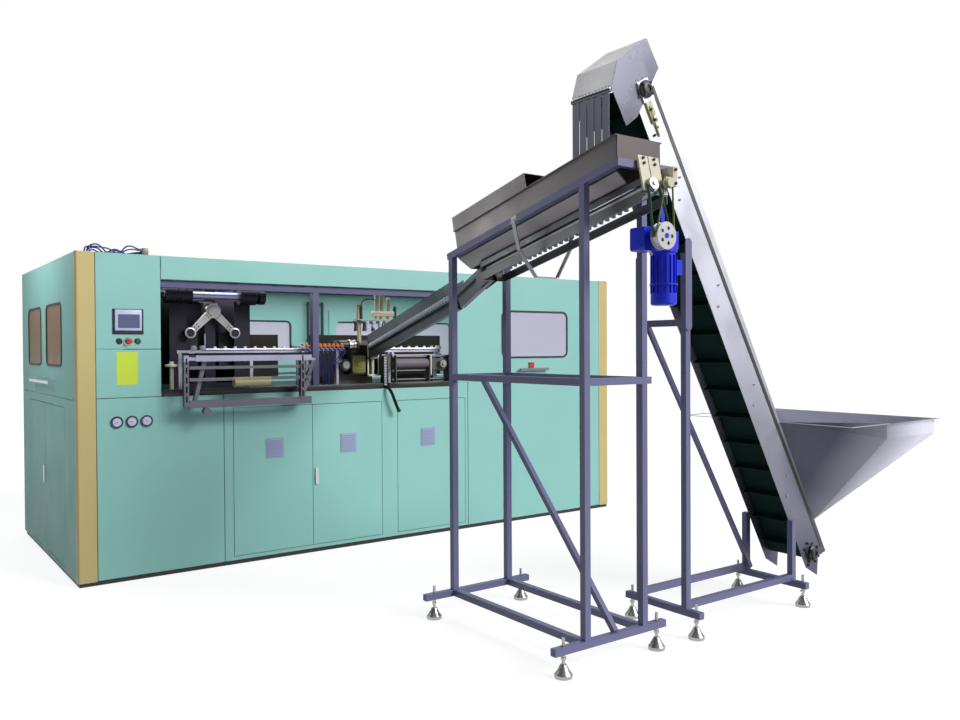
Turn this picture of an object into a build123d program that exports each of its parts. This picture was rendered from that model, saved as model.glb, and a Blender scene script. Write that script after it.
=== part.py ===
from build123d import *
from math import acos, atan2, cos, radians, sin, sqrt, tan
import os

os.makedirs("parts", exist_ok=True)

# Blow moulding line: cabinet, preform trough on its frame, cleated elevator with hopper.
# Millimetres, +Z up, origin in the middle of the cabinet's base on the floor, front of the cabinet at -Y.

# Cabinet
cabinet_length = 4790.0
cabinet_depth = 2140.0
cabinet_height = 2200.0
plinth_height = 27.0
plinth_inset = 12.0
panel_thickness = 25.0
sheet_thickness = 3.0
seam = 4.0
corner_strip_width = 120.0
corner_strip_return = 40.0
corner_radius = 18.0
inner_tube = 50.0
bed_thickness = 30.0
bed_height = 1235.0

# Places along the front, measured from the cabinet's left edge
opening_left = 542.0
opening_right = 2985.0
opening_top = 2037.0
gauge_panel_right = 974.0
middle_post_left = 1682.0
surround_right = 3112.0
guard_bottom = 1265.0
split_height = 1558.0

# Lower front doors: left edge and width of each leaf, measured the same way
door_bottom = 62.0
door_top = 1130.0
door_left_edge = 1045.0
door_left_width = 614.0
door_mid_width = 600.0
door_right_edge = 2412.0
door_right_width = 668.0
door_gap = 4.0
vent_width = 140.0
vent_height = 150.0
vent_centre_height = 822.0
vent_slats = 9

# Windows
window_radius = 62.0
window_seal = 16.0
pane_thickness = 5.0
right_window_left = 3483.0
right_window_width = 780.0
right_window_bottom = 1463.0
right_window_height = 429.0
end_window_bottom = 1440.0
end_window_height = 450.0
end_window_front = 448.0
end_window_width = 582.0
end_window_pitch = 790.0
back_window_width = 1489.0
back_window_bottom = 1450.0
back_window_height = 410.0
back_window_jamb = 226.0
back_door_middle = 2666.0
back_door_width = 1826.0
back_door_bottom = 1262.0
back_door_top = 2148.0

# Control face
screen_left = 229.0
screen_width = 196.0
screen_bottom = 1660.0
screen_height = 168.0
screen_bezel = 22.0
button_height = 1611.0
button_first = 269.0
button_pitch = 59.0
button_radius = 14.0
button_travel = 5.0
button_clearance = 0.4
gauge_first = 249.0
gauge_pitch = 96.0
gauge_height = 1072.0
gauge_radius = 40.0

# Clamp
clamp_middle = 1031.0
clamp_front = 430.0
platen_depth = 700.0
platen_gap = 362.0
platen_thickness = 127.0
platen_bottom = 1300.0
platen_top = 2010.0
tie_bar_radius = 27.0
tie_bar_height = 1955.0
tie_bar_front = 330.0
tie_bar_back = 1060.0
tie_bar_start = 600.0
tie_bar_end = 1411.0
boss_radius = 62.0
left_boss_length = 192.0
mould_thickness = 100.5
mould_height = 360.0
mould_depth = 420.0
running_clearance = 0.4
link_plane = 385.0
link_thickness = 18.0
link_head_radius = 55.0
link_foot_radius = 41.0
link_width = 50.0
link_pin_height = 1846.0
link_foot_height = 1680.0
link_spread = 172.0
top_pin_radius = 24.0
foot_pin_radius = 16.0
foot_bore_radius = 26.0
clamp_travel = 80.0

# Preform transfer
spindle_pitch = 76.2
spindle_height = 1558.0
transfer_plane = 190.0
transfer_first = 979.0
transfer_count = 8
infeed_first = 2410.0
infeed_count = 7
loader_plane = 235.0
loader_first = 2160.0
loader_count = 5
loader_travel = 60.0
oven_plane = 1250.0
oven_depth = 260.0
oven_length = 614.0
oven_top = 1685.0

# Trough and its frame
frame_tube = 36.0
frame_left = 1665.0
frame_right = 2060.0
frame_far = 1903.0
frame_near = 3016.0
rail_left = 1458.0
rail_right = 2213.0
foot_left = 1522.0
foot_right = 2160.0
ground_rail_height = 128.0
mid_rail_height = 1385.0
trough_slope = 12.7
side_rail_height = 2111.0
side_rail_start = 1870.0
side_rail_end = 3243.0
trough_left = 1689.0
trough_width = 317.0
trough_far = 1870.0
trough_near = 3200.0
trough_sheet = 3.0
rim_rise = 135.0
rim_flange = 14.0
roller_radius = 24.0
roller_gap = 26.0
roller_drop = 258.0

# Elevator
elevator_slope = 60.4
elevator_near = 2950.0
elevator_width = 290.0
plate_low = 3203.0
plate_high = 3423.0
plate_top_run = -1504.0
plate_bottom_run = 1645.0
drum_radius = 35.0
drum_offset = 3290.0
head_drum_run = -1442.0
tail_drum_run = 1556.0
belt_thickness = 4.0
cleat_height = 42.0
cleat_pitch = 187.0
side_sheet = 3.0

# Elevator stand
stand_left = 2445.0
stand_right = 3400.0
stand_near_leg = 2968.0
stand_far_leg = 2642.0
stand_near_foot = 3038.0
stand_far_foot = 2573.0

# Hopper
hopper_rim = 1100.0
hopper_band = 90.0
hopper_half_width = 580.0
hopper_end = 4285.0
hopper_corner = 3723.0
hopper_mouth_low = 1398.0
hopper_mouth_high = 693.0
hopper_sheet = 3.0

# Levelling feet
foot_base_radius = 43.0
foot_height = 62.0
spindle_radius = 8.0
spindle_top = 188.0

left = -cabinet_length / 2
right = cabinet_length / 2
front = -cabinet_depth / 2
back = cabinet_depth / 2


def slab(x_range, y_range, z_range, mode=Mode.ADD):
    """Box between two corners, given as ranges from the cabinet's left, front and floor."""
    size = [end - start for start, end in (x_range, y_range, z_range)]
    middle = (left + sum(x_range) / 2, front + sum(y_range) / 2, sum(z_range) / 2)
    with Locations(middle):
        Box(*size, mode=mode)


def point(x, y, z):
    """Point from the cabinet's left, front and floor."""
    return Vector(left + x, front + y, z)


def tube(start, end, width, height=None, side=(0, 0, 1)):
    """Square tube or flat bar between two points."""
    path = end - start
    plane = Plane(origin=start, x_dir=path.cross(Vector(*side)), z_dir=path)
    with BuildSketch(plane) as section:
        Rectangle(width, height or width)
    extrude(section.sketch, amount=path.length)


def rod(start, end, radius, mode=Mode.ADD):
    """Round bar between two points."""
    path = end - start
    with BuildSketch(Plane(origin=start, z_dir=path)) as section:
        Circle(radius)
    extrude(section.sketch, amount=path.length, mode=mode)


def plate(points, thickness, towards):
    """Flat sheet through the points of one plane, thickened on the side of the point named last."""
    face = Face(Wire.make_polygon(points))
    inward = (towards - face.center()).dot(face.normal_at()) > 0
    extrude(face, amount=thickness if inward else -thickness)


def window_outline(centre, plane_normal_x, width, height, radius):
    """Rounded rectangle upright on the front or the end of the cabinet."""
    plane = Plane(origin=centre, x_dir=(0, 1, 0) if plane_normal_x else (1, 0, 0),
                  z_dir=(-1, 0, 0) if plane_normal_x else (0, -1, 0))
    with BuildSketch(plane) as outline:
        RectangleRounded(width, height, radius)
    return outline.sketch


# Plinth: black base plate, set back under the panels
with BuildPart() as plinth:
    slab((plinth_inset, cabinet_length - plinth_inset), (plinth_inset, cabinet_depth - plinth_inset),
         (0, plinth_height))
plinth.part.label = "plinth"
export_step(plinth.part, "parts/plinth.step")

# Inner frame: square tubes behind the seams, with the steel bed plate welded on at working height
inside = panel_thickness + inner_tube
roof_underside = cabinet_height - sheet_thickness - panel_thickness
bed_underside = bed_height - bed_thickness
posts_x = [panel_thickness, opening_left - seam / 2 - inner_tube, middle_post_left,
           opening_right + seam, cabinet_length - inside]
back_posts_x = [panel_thickness, back_door_middle - inner_tube / 2, cabinet_length - inside]
weld_gap = 0.3
front_y = (panel_thickness, inside)
back_y = (cabinet_depth - inside, cabinet_depth - panel_thickness)
between_y = (inside + weld_gap, cabinet_depth - inside - weld_gap)
ground_rail_top = plinth_height + inner_tube
with BuildPart() as inner_frame:
    for posts, y_range, tops in (
            (posts_x, front_y, (opening_top - 2, roof_underside, bed_underside, ground_rail_top)),
            (back_posts_x, back_y, (roof_underside, bed_underside, ground_rail_top))):
        for x in posts:
            slab((x, x + inner_tube), y_range, (plinth_height, roof_underside))
        for x, next_x in zip(posts, posts[1:]):
            for top in tops:
                slab((x + inner_tube + weld_gap, next_x - weld_gap), y_range, (top - inner_tube, top))
    for x in (panel_thickness, cabinet_length - inside):
        for top in (roof_underside, bed_underside, ground_rail_top):
            slab((x, x + inner_tube), between_y, (top - inner_tube, top))
    for x in posts_x[1:4]:
        slab((x, x + inner_tube), between_y, (bed_underside - inner_tube, bed_underside))
    slab((inside + weld_gap, cabinet_length - inside - weld_gap), between_y,
         (bed_underside + weld_gap, bed_height))
inner_frame.part.label = "inner_frame"
export_step(inner_frame.part, "parts/inner_frame.step")

# Outer panels: folded sheet, 25 mm deep, with 4 mm seams between them
strip_inner = corner_strip_width + seam
control_right = opening_left - seam / 2
panel_bottom = plinth_height + seam
panel_top = cabinet_height - seam / 2
panel_y = (0, panel_thickness)
roof_inset = panel_thickness + sheet_thickness

with BuildPart() as roof_panel:
    slab((roof_inset, cabinet_length - roof_inset), (roof_inset, cabinet_depth - roof_inset),
         (roof_underside, roof_underside + panel_thickness))
    chamfer(roof_panel.faces().sort_by(Axis.Z)[-1].edges(), 2)
roof_panel.part.label = "roof_panel"
export_step(roof_panel.part, "parts/roof_panel.step")

with BuildPart() as lintel_panel:
    slab((opening_left + seam / 2, opening_right - seam / 2), panel_y, (opening_top, panel_top))
    chamfer(lintel_panel.faces().sort_by(Axis.Y)[0].edges(), 2)
lintel_panel.part.label = "lintel_panel"
export_step(lintel_panel.part, "parts/lintel_panel.step")

# Control panel: upper and lower sheet left of the opening, with collars for the three push buttons
button_x = [button_first + i * button_pitch for i in range(3)]
collar_radius = button_radius + 6
collar_height = 4.0
with BuildPart() as control_panel:
    for low, high in ((split_height + seam / 2, panel_top), (bed_height, split_height - seam / 2)):
        slab((strip_inner, control_right), panel_y, (low, high))
    chamfer(control_panel.faces().filter_by(Plane.XZ).sort_by(Axis.Y)[:2].edges(), 2)
    for x in button_x:
        rod(point(x, 0, button_height), point(x, -collar_height, button_height), collar_radius)
    for x in button_x:
        rod(point(x, -collar_height, button_height), point(x, panel_thickness, button_height),
            button_radius + button_clearance, mode=Mode.SUBTRACT)
control_panel.part.label = "control_panel"
export_step(control_panel.part, "parts/control_panel.step")

# Lower front: gauge panel, door surround with its two openings, plain panel at the right
door_mid_edge = door_left_edge + door_left_width + door_gap
doors = {"door_left": (door_left_edge, door_left_width), "door_mid": (door_mid_edge, door_mid_width),
         "door_right": (door_right_edge, door_right_width)}
gauge_x = [gauge_first + i * gauge_pitch for i in range(3)]
gauge_body_radius = gauge_radius - 9
with BuildPart() as lower_front_panels:
    slab((strip_inner, gauge_panel_right - seam / 2), panel_y, (panel_bottom, bed_height - seam))
    slab((gauge_panel_right + seam / 2, surround_right - seam / 2), panel_y,
         (panel_bottom, guard_bottom - seam / 2))
    slab((surround_right + seam / 2, cabinet_length - strip_inner), panel_y,
         (panel_bottom, guard_bottom - seam / 2))
    slab((gauge_panel_right, opening_right), panel_y, (bed_height, guard_bottom), mode=Mode.SUBTRACT)
    chamfer(lower_front_panels.faces().filter_by(Plane.XZ).sort_by(Axis.Y)[:3].edges(), 2)
    for edge, width in ((door_left_edge, door_left_width + door_gap + door_mid_width),
                        (door_right_edge, door_right_width)):
        slab((edge - door_gap, edge + width + door_gap), panel_y,
             (door_bottom - door_gap, door_top + door_gap), mode=Mode.SUBTRACT)
    for x in gauge_x:
        rod(point(x, 0, gauge_height), point(x, panel_thickness, gauge_height),
            gauge_body_radius + button_clearance, mode=Mode.SUBTRACT)
lower_front_panels.part.label = "lower_front_panels"
export_step(lower_front_panels.part, "parts/lower_front_panels.step")

# Left end surround with its door opening, right end and back with the two rear door openings
end_front = corner_strip_return + seam
end_back = cabinet_depth - panel_thickness - seam
end_door = (386.0, 1830.0)
end_door_bottom = 60.0
end_door_top = 1160.0
end_split = 1224.0
back_door_left_edge = back_door_middle - seam / 2 - back_door_width
back_door_right_edge = back_door_middle + seam / 2
with BuildPart() as end_and_back_panels:
    slab((0, panel_thickness), (end_front, end_back), (panel_bottom, end_split - seam / 2))
    slab((0, panel_thickness), end_door, (end_door_bottom - door_gap, end_door_top + door_gap),
         mode=Mode.SUBTRACT)
    slab((cabinet_length - panel_thickness, cabinet_length), (end_front, end_back),
         (panel_bottom, panel_top))
    slab((0, cabinet_length), (cabinet_depth - panel_thickness, cabinet_depth), (panel_bottom, panel_top))
    slab((back_door_left_edge - door_gap, back_door_right_edge + back_door_width + door_gap),
         (cabinet_depth - panel_thickness, cabinet_depth),
         (back_door_bottom - door_gap, back_door_top + door_gap), mode=Mode.SUBTRACT)
end_and_back_panels.part.label = "end_and_back_panels"
export_step(end_and_back_panels.part, "parts/end_and_back_panels.step")

# Corner strips: gold angle profiles with a round outer edge, full height at both front corners
with BuildPart() as corner_strips:
    with BuildSketch(Plane.XY.offset(plinth_height)):
        for side in (1, -1):
            with BuildLine():
                Polyline((side * left, front + corner_strip_return), (side * left, front),
                         (side * (left + corner_strip_width), front),
                         (side * (left + corner_strip_width), front + panel_thickness),
                         (side * (left + panel_thickness), front + panel_thickness),
                         (side * (left + panel_thickness), front + corner_strip_return), close=True)
            make_face()
    extrude(amount=cabinet_height - plinth_height)
    outer = corner_strips.edges().filter_by(Axis.Z).group_by(Axis.Y)[0]
    fillet(outer.group_by(Axis.X)[0] + outer.group_by(Axis.X)[-1], corner_radius)
corner_strips.part.label = "corner_strips"
export_step(corner_strips.part, "parts/corner_strips.step")


hinge_inset = 6.0
hinge_depth = 6.0
hinge_pin_radius = 3.0
pin_reach = door_gap - 0.3


def leaf(x_range, z_range, hinge_at_left):
    """Front door leaf: outer skin, inner tray set back from the hinge edge, two hinge tabs with pins."""
    slab(x_range, (0, sheet_thickness), z_range)
    inset = (30, 20) if hinge_at_left else (20, 30)
    slab((x_range[0] + inset[0], x_range[1] - inset[1]), (sheet_thickness, panel_thickness - 0.5),
         (z_range[0] + 20, z_range[1] - 20))
    hinge_x = x_range[0] + hinge_inset if hinge_at_left else x_range[1] - hinge_inset
    tab_x = sorted((hinge_x, hinge_x + (28 if hinge_at_left else -28)))
    for low, high, tip in ((z_range[0], z_range[0] + 40, z_range[0] - pin_reach),
                           (z_range[1] - 40, z_range[1], z_range[1] + pin_reach)):
        slab(tab_x, (sheet_thickness, 2 * hinge_depth - sheet_thickness), (low, high))
        rod(point(hinge_x, hinge_depth, (low + high) / 2), point(hinge_x, hinge_depth, tip), hinge_pin_radius)


def vent(x):
    """Louvred filter grille standing on a door: frame and slats."""
    low = vent_centre_height - vent_height / 2
    slab((x - vent_width / 2, x + vent_width / 2), (-3, 0), (low, low + vent_height))
    pitch = (vent_height - 20) / vent_slats
    for i in range(vent_slats):
        z = low + 10 + (i + 0.25) * pitch
        slab((x - vent_width / 2 + 10, x + vent_width / 2 - 10), (-8, -3), (z, z + pitch / 2))


# Lower front doors with their grilles; the middle one carries the swing latch
latch_x = door_mid_edge + 28
latch_bottom = 521.0
latch_height = 130.0
latch_width = 24.0
door_parts = {}
for name, (edge, width) in doors.items():
    with BuildPart() as door:
        leaf((edge, edge + width), (door_bottom, door_top), name == "door_left")
        vent({"door_left": 1356, "door_mid": 1965, "door_right": 2703}[name])
        if name == "door_mid":
            middle = point(latch_x, 0, latch_bottom + latch_height / 2)
            with BuildSketch(Plane(origin=middle, x_dir=(0, 0, 1), z_dir=(0, -1, 0))) as latch:
                SlotOverall(latch_height, latch_width)
            extrude(latch.sketch, amount=12)
    door.part.label = name
    export_step(door.part, f"parts/{name}.step")

# Guard doors hinged at their top edge: right front with one window, left end with two
guard_skin = 3.0
seal_overlap = 6.0
guard_top = panel_top - 2


def window_hole(centre, on_end, width, height):
    """Opening for a window through a guard."""
    hole = window_outline(centre, on_end, width - 2 * seal_overlap, height - 2 * seal_overlap,
                          window_radius - seal_overlap)
    extrude(hole, amount=panel_thickness, both=True, mode=Mode.SUBTRACT)


def window(centre, on_end, width, height):
    """Pane in a rubber profile that grips the edge of the opening from both sides."""
    outer = window_outline(centre, on_end, width, height, window_radius)
    plug = window_outline(centre, on_end, width - 2 * seal_overlap - 0.6, height - 2 * seal_overlap - 0.6,
                          window_radius - seal_overlap)
    pane = window_outline(centre, on_end, width - 2 * window_seal, height - 2 * window_seal,
                          window_radius - window_seal)
    extrude(outer, amount=5)
    extrude(plug, amount=-guard_skin - 4)
    extrude(pane, amount=5, mode=Mode.SUBTRACT)
    extrude(pane, amount=-(guard_skin + 4 - pane_thickness), mode=Mode.ADD)


right_window_centre = point(right_window_left + right_window_width / 2, 0,
                            right_window_bottom + right_window_height / 2)
handle_drop = 90.0
guard_edges = (opening_right + seam / 2, cabinet_length - strip_inner)
with BuildPart() as right_guard:
    slab(guard_edges, (0, guard_skin), (guard_bottom + seam / 2, guard_top))
    for z in (guard_bottom + 20, guard_top - 45):
        slab((guard_edges[0] + 60, guard_edges[1] - 60), (guard_skin, panel_thickness - 0.5), (z, z + 25))
    window_hole(right_window_centre, False, right_window_width, right_window_height)
    for edge, inward in ((guard_edges[0], 1), (guard_edges[1], -1)):
        slab(sorted((edge, edge + inward * 40)), (guard_skin, 2 * hinge_depth - guard_skin),
             (guard_top - 2 * hinge_inset, guard_top))
        rod(point(edge + inward * 20, hinge_depth, guard_top - hinge_inset),
            point(edge - inward * pin_reach, hinge_depth, guard_top - hinge_inset), hinge_pin_radius)
    slab((3675, 4008), (-34, -22), (1350, 1372))
    for x in (3690, 3977):
        slab((x, x + 16), (-22, 0), (1353, 1369))
    slab((3792, 3850), (-9, 0), (1376, 1424))
right_guard.part.label = "right_guard"
export_step(right_guard.part, "parts/right_guard.step")

with BuildPart() as right_window:
    window(right_window_centre, False, right_window_width, right_window_height)
right_window.part.label = "right_window"
export_step(right_window.part, "parts/right_window.step")

end_windows = [point(0, end_window_front + end_window_width / 2 + i * end_window_pitch,
                     end_window_bottom + end_window_height / 2) for i in range(2)]
with BuildPart() as left_guard:
    slab((0, guard_skin), (end_front, end_back), (end_split + seam / 2, guard_top))
    for z in (end_split + 20, guard_top - 45):
        slab((guard_skin, panel_thickness - 0.5), (end_front + 60, end_back - 60), (z, z + 25))
    for centre in end_windows:
        window_hole(centre, True, end_window_width, end_window_height)
    for edge, inward in ((end_front, 1), (end_back, -1)):
        slab((guard_skin, 2 * hinge_depth - guard_skin), sorted((edge, edge + inward * 40)),
             (guard_top - 2 * hinge_inset, guard_top))
        rod(point(hinge_depth, edge + inward * 20, guard_top - hinge_inset),
            point(hinge_depth, edge - inward * pin_reach, guard_top - hinge_inset), hinge_pin_radius)
    slab((-46, -30), (720, 1520), (1314, 1334))
    for y in (740, 1484):
        slab((-30, 0), (y, y + 16), (1316, 1332))
left_guard.part.label = "left_guard"
export_step(left_guard.part, "parts/left_guard.step")

with BuildPart() as left_windows:
    for centre in end_windows:
        window(centre, True, end_window_width, end_window_height)
left_windows.part.label = "left_windows"
export_step(left_windows.part, "parts/left_windows.step")

# Left end doors below: two leaves, the rear one with the latch beside the middle seam
end_door_split = 1108.0
for name, y_range, hinge_in_front in (("end_door_front", (end_door[0] + door_gap, end_door_split - 2), True),
                                      ("end_door_back", (end_door_split + 2, end_door[1] - door_gap), False)):
    inset = (34, 20) if hinge_in_front else (20, 34)
    hinge_y = y_range[0] + hinge_inset if hinge_in_front else y_range[1] - hinge_inset
    tab_y = sorted((hinge_y, hinge_y + (32 if hinge_in_front else -32)))
    with BuildPart() as end_leaf:
        slab((0, sheet_thickness), y_range, (end_door_bottom, end_door_top))
        slab((sheet_thickness, panel_thickness - 0.5), (y_range[0] + inset[0], y_range[1] - inset[1]),
             (end_door_bottom + 20, end_door_top - 20))
        for low, high, tip in ((end_door_bottom, end_door_bottom + 40, end_door_bottom - pin_reach),
                               (end_door_top - 40, end_door_top, end_door_top + pin_reach)):
            slab((sheet_thickness, 2 * hinge_depth - sheet_thickness), tab_y, (low, high))
            rod(point(hinge_depth, hinge_y, (low + high) / 2), point(hinge_depth, hinge_y, tip),
                hinge_pin_radius)
        if not hinge_in_front:
            slab((-12, 0), (y_range[0] + 14, y_range[0] + 38), (560, 690))
    end_leaf.part.label = name
    export_step(end_leaf.part, f"parts/{name}.step")

# Rear doors, seen through the opening: window, raised inner frame and black grip beside the middle
for name, edge, direction in (("rear_door_left", back_door_left_edge, 1),
                              ("rear_door_right", back_door_right_edge, -1)):
    free_edge = edge + back_door_width if direction == 1 else edge
    window_x = free_edge - direction * (back_window_jamb + back_window_width / 2)
    grip_x = free_edge - direction * 77
    frame_x = sorted((free_edge - direction * 170, free_edge - direction * (back_door_width - 100)))
    with BuildPart() as rear_door:
        slab((edge + door_gap / 2, edge + back_door_width - door_gap / 2),
             (cabinet_depth - sheet_thickness, cabinet_depth), (back_door_bottom, back_door_top))
        slab((edge + 30, edge + back_door_width - 30),
             (cabinet_depth - panel_thickness + 0.5, cabinet_depth - sheet_thickness),
             (back_door_bottom + 20, back_door_top - 20))
        slab(frame_x, (cabinet_depth - 40, cabinet_depth - panel_thickness + 0.5),
             (back_door_bottom + 60, 1954))
        slab((grip_x - 12, grip_x + 12), (cabinet_depth - 75, cabinet_depth - 60), (1629, 2038))
        for z in (1650, 2000):
            slab((grip_x - 8, grip_x + 8), (cabinet_depth - 61, cabinet_depth - panel_thickness + 0.5),
                 (z, z + 16))
        middle = point(window_x, cabinet_depth - 40, back_window_bottom + back_window_height / 2)
        opening = window_outline(middle, False, back_window_width - 2 * window_seal,
                                 back_window_height - 2 * window_seal, window_radius)
        extrude(opening, amount=-33, mode=Mode.SUBTRACT)
        hinge_edge = edge + door_gap / 2 if direction == 1 else edge + back_door_width - door_gap / 2
        hinge_x = hinge_edge + direction * hinge_inset
        for low, high, tip in ((back_door_bottom, back_door_bottom + 40, back_door_bottom - pin_reach),
                               (back_door_top - 40, back_door_top, back_door_top + pin_reach)):
            slab(sorted((hinge_x, hinge_x + direction * 32)),
                 (cabinet_depth - 2 * hinge_depth + sheet_thickness, cabinet_depth - sheet_thickness), (low, high))
            rod(point(hinge_x, cabinet_depth - hinge_depth, (low + high) / 2),
                point(hinge_x, cabinet_depth - hinge_depth, tip), hinge_pin_radius)
    rear_door.part.label = name
    export_step(rear_door.part, f"parts/{name}.step")

# Control face: touch screen with its bezel, three buttons, three pressure gauges
with BuildPart() as touch_panel:
    slab((screen_left, screen_left + screen_width), (-9, 0), (screen_bottom, screen_bottom + screen_height))
    chamfer(touch_panel.faces().sort_by(Axis.Y)[0].edges(), 3)
    slab((screen_left + screen_bezel, screen_left + screen_width - screen_bezel), (-9, -6),
         (screen_bottom + screen_bezel, screen_bottom + screen_height - screen_bezel), mode=Mode.SUBTRACT)
touch_panel.part.label = "touch_panel"
export_step(touch_panel.part, "parts/touch_panel.step")

for name, x, head in (("black_button", button_x[0], 0), ("stop_button", button_x[1], 21),
                      ("green_button", button_x[2], 0)):
    with BuildPart() as button:
        rod(point(x, panel_thickness, button_height), point(x, -12, button_height), button_radius)
        if head:
            with BuildSketch(Plane(origin=point(x, -12, button_height), z_dir=(0, -1, 0))) as face:
                Circle(head)
            extrude(face.sketch, amount=18, taper=12)
        fillet(button.edges().filter_by(GeomType.CIRCLE).sort_by(Axis.Y)[0], 2)
    button.part.label = name
    export_step(button.part, f"parts/{name}.step")

with BuildPart() as pressure_gauges:
    for x in gauge_x:
        rod(point(x, 0, gauge_height), point(x, -9, gauge_height), gauge_radius)
        rod(point(x, 0, gauge_height), point(x, panel_thickness + 15, gauge_height), gauge_body_radius)
        rod(point(x, -9, gauge_height), point(x, -5, gauge_height), gauge_radius - 9, mode=Mode.SUBTRACT)
pressure_gauges.part.label = "pressure_gauges"
export_step(pressure_gauges.part, "parts/pressure_gauges.step")

# Clamp: base with end plates, rear plate, middle column and the two tie bars the platens slide on
base_height = platen_bottom - running_clearance
end_plate = 40.0
clamp_left = tie_bar_start - 25
clamp_back = clamp_front + platen_depth + 10
column_half = 40.0
column_front = clamp_front + 18
column_back = column_front + 28
plate_inner = clamp_left + end_plate + weld_gap
arm_inner = tie_bar_end - end_plate
with BuildPart() as clamp_base:
    slab((plate_inner, arm_inner - weld_gap), (column_front - 8, clamp_back - weld_gap), (bed_height, base_height))
    slab((clamp_left, clamp_left + end_plate), (280, clamp_back - weld_gap), (bed_height, platen_top))
    slab((arm_inner, tie_bar_end), (720, clamp_back - weld_gap), (bed_height, platen_top))
    slab((clamp_left, tie_bar_end), (clamp_back, clamp_back + 30), (bed_height, platen_top))
    slab((clamp_middle - column_half, clamp_middle + column_half), (column_front, column_back),
         (base_height + weld_gap, platen_top))
    slab((arm_inner, tie_bar_end), (tie_bar_front + boss_radius - 6 + weld_gap, 720 - weld_gap),
         (tie_bar_height - 45, platen_top))
    rod(point(arm_inner - 6, tie_bar_front, tie_bar_height),
        point(tie_bar_end, tie_bar_front, tie_bar_height), boss_radius - 6)
    for y, end in ((tie_bar_front, arm_inner - 6 - weld_gap), (tie_bar_back, arm_inner - weld_gap)):
        rod(point(plate_inner, y, tie_bar_height), point(end, y, tie_bar_height), tie_bar_radius)
clamp_base.part.label = "clamp_base"
export_step(clamp_base.part, "parts/clamp_base.step")

# Platens: each with a bored boss on the front bar, a pin ear for its toggle link and a mould half
pin_left = clamp_middle - link_spread
pin_right = clamp_middle + link_spread
for name, direction, foot_x, ear_front in (("left_platen", -1, pin_left, link_plane),
                                           ("right_platen", 1, pin_right, link_plane + link_thickness)):
    inner = clamp_middle + direction * platen_gap / 2
    outer = inner + direction * platen_thickness
    boss_end = inner + direction * (left_boss_length if direction == -1 else platen_thickness)
    with BuildPart() as platen:
        slab(sorted((inner, outer)), (clamp_front, clamp_front + platen_depth), (platen_bottom, platen_top))
        slab(sorted((inner, outer)), (tie_bar_front, clamp_front), (tie_bar_height - 30, tie_bar_height + 40))
        rod(point(inner, tie_bar_front, tie_bar_height), point(boss_end, tie_bar_front, tie_bar_height),
            boss_radius)
        for y in (tie_bar_front, tie_bar_back):
            rod(point(inner - direction * 1, y, tie_bar_height),
                point(boss_end + direction * 1, y, tie_bar_height),
                tie_bar_radius + running_clearance, mode=Mode.SUBTRACT)
        slab(sorted((inner, inner - direction * mould_thickness)),
             (clamp_front + 60, clamp_front + 60 + mould_depth), (1400, 1400 + mould_height))
        for i in range(3):
            rod(point(inner - direction * mould_thickness, clamp_front + 130 + i * 140, 1440),
                point(inner - direction * mould_thickness, clamp_front + 130 + i * 140, 1761),
                36, mode=Mode.SUBTRACT)
        rod(point(foot_x, clamp_front, link_foot_height), point(foot_x, ear_front + 1, link_foot_height), 34)
        rod(point(foot_x, ear_front + 1, link_foot_height),
            point(foot_x, ear_front - link_thickness - 1.5, link_foot_height), foot_pin_radius)
        rod(point(foot_x, ear_front - link_thickness - 1.5, link_foot_height),
            point(foot_x, ear_front - link_thickness - 5.5, link_foot_height), foot_pin_radius + 14)
        rod(point(foot_x, clamp_front, link_foot_height), point(foot_x, clamp_front + 45, link_foot_height), 34)
    platen.part.label = name
    export_step(platen.part, f"parts/{name}.step")

# Crosshead: C-shaped slider on the column, with the pin that both links hang on
with BuildPart() as crosshead:
    guide_half = column_half + running_clearance
    slab((clamp_middle - guide_half - 12, clamp_middle + guide_half + 12), (425, column_back),
         (link_pin_height - 50, link_pin_height + 60))
    slab((clamp_middle - guide_half, clamp_middle + guide_half),
         (column_front - running_clearance, column_back + 1),
         (link_pin_height - 51, link_pin_height + 61), mode=Mode.SUBTRACT)
    rod(point(clamp_middle, 425, link_pin_height),
        point(clamp_middle, link_plane + link_thickness + 1, link_pin_height), 45)
    rod(point(clamp_middle, 425, link_pin_height),
        point(clamp_middle, link_plane - link_thickness - 2, link_pin_height), top_pin_radius)
    rod(point(clamp_middle, link_plane - link_thickness - 2, link_pin_height),
        point(clamp_middle, link_plane - link_thickness - 6, link_pin_height), top_pin_radius + 12)
    slab((clamp_middle - 98, clamp_middle - 5), (385, 424), (link_pin_height + 60, link_pin_height + 66))
    slab((clamp_middle - 40, clamp_middle - 5), (404, 430), (link_pin_height + 50, link_pin_height + 60))
crosshead.part.label = "crosshead"
export_step(crosshead.part, "parts/crosshead.step")

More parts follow.
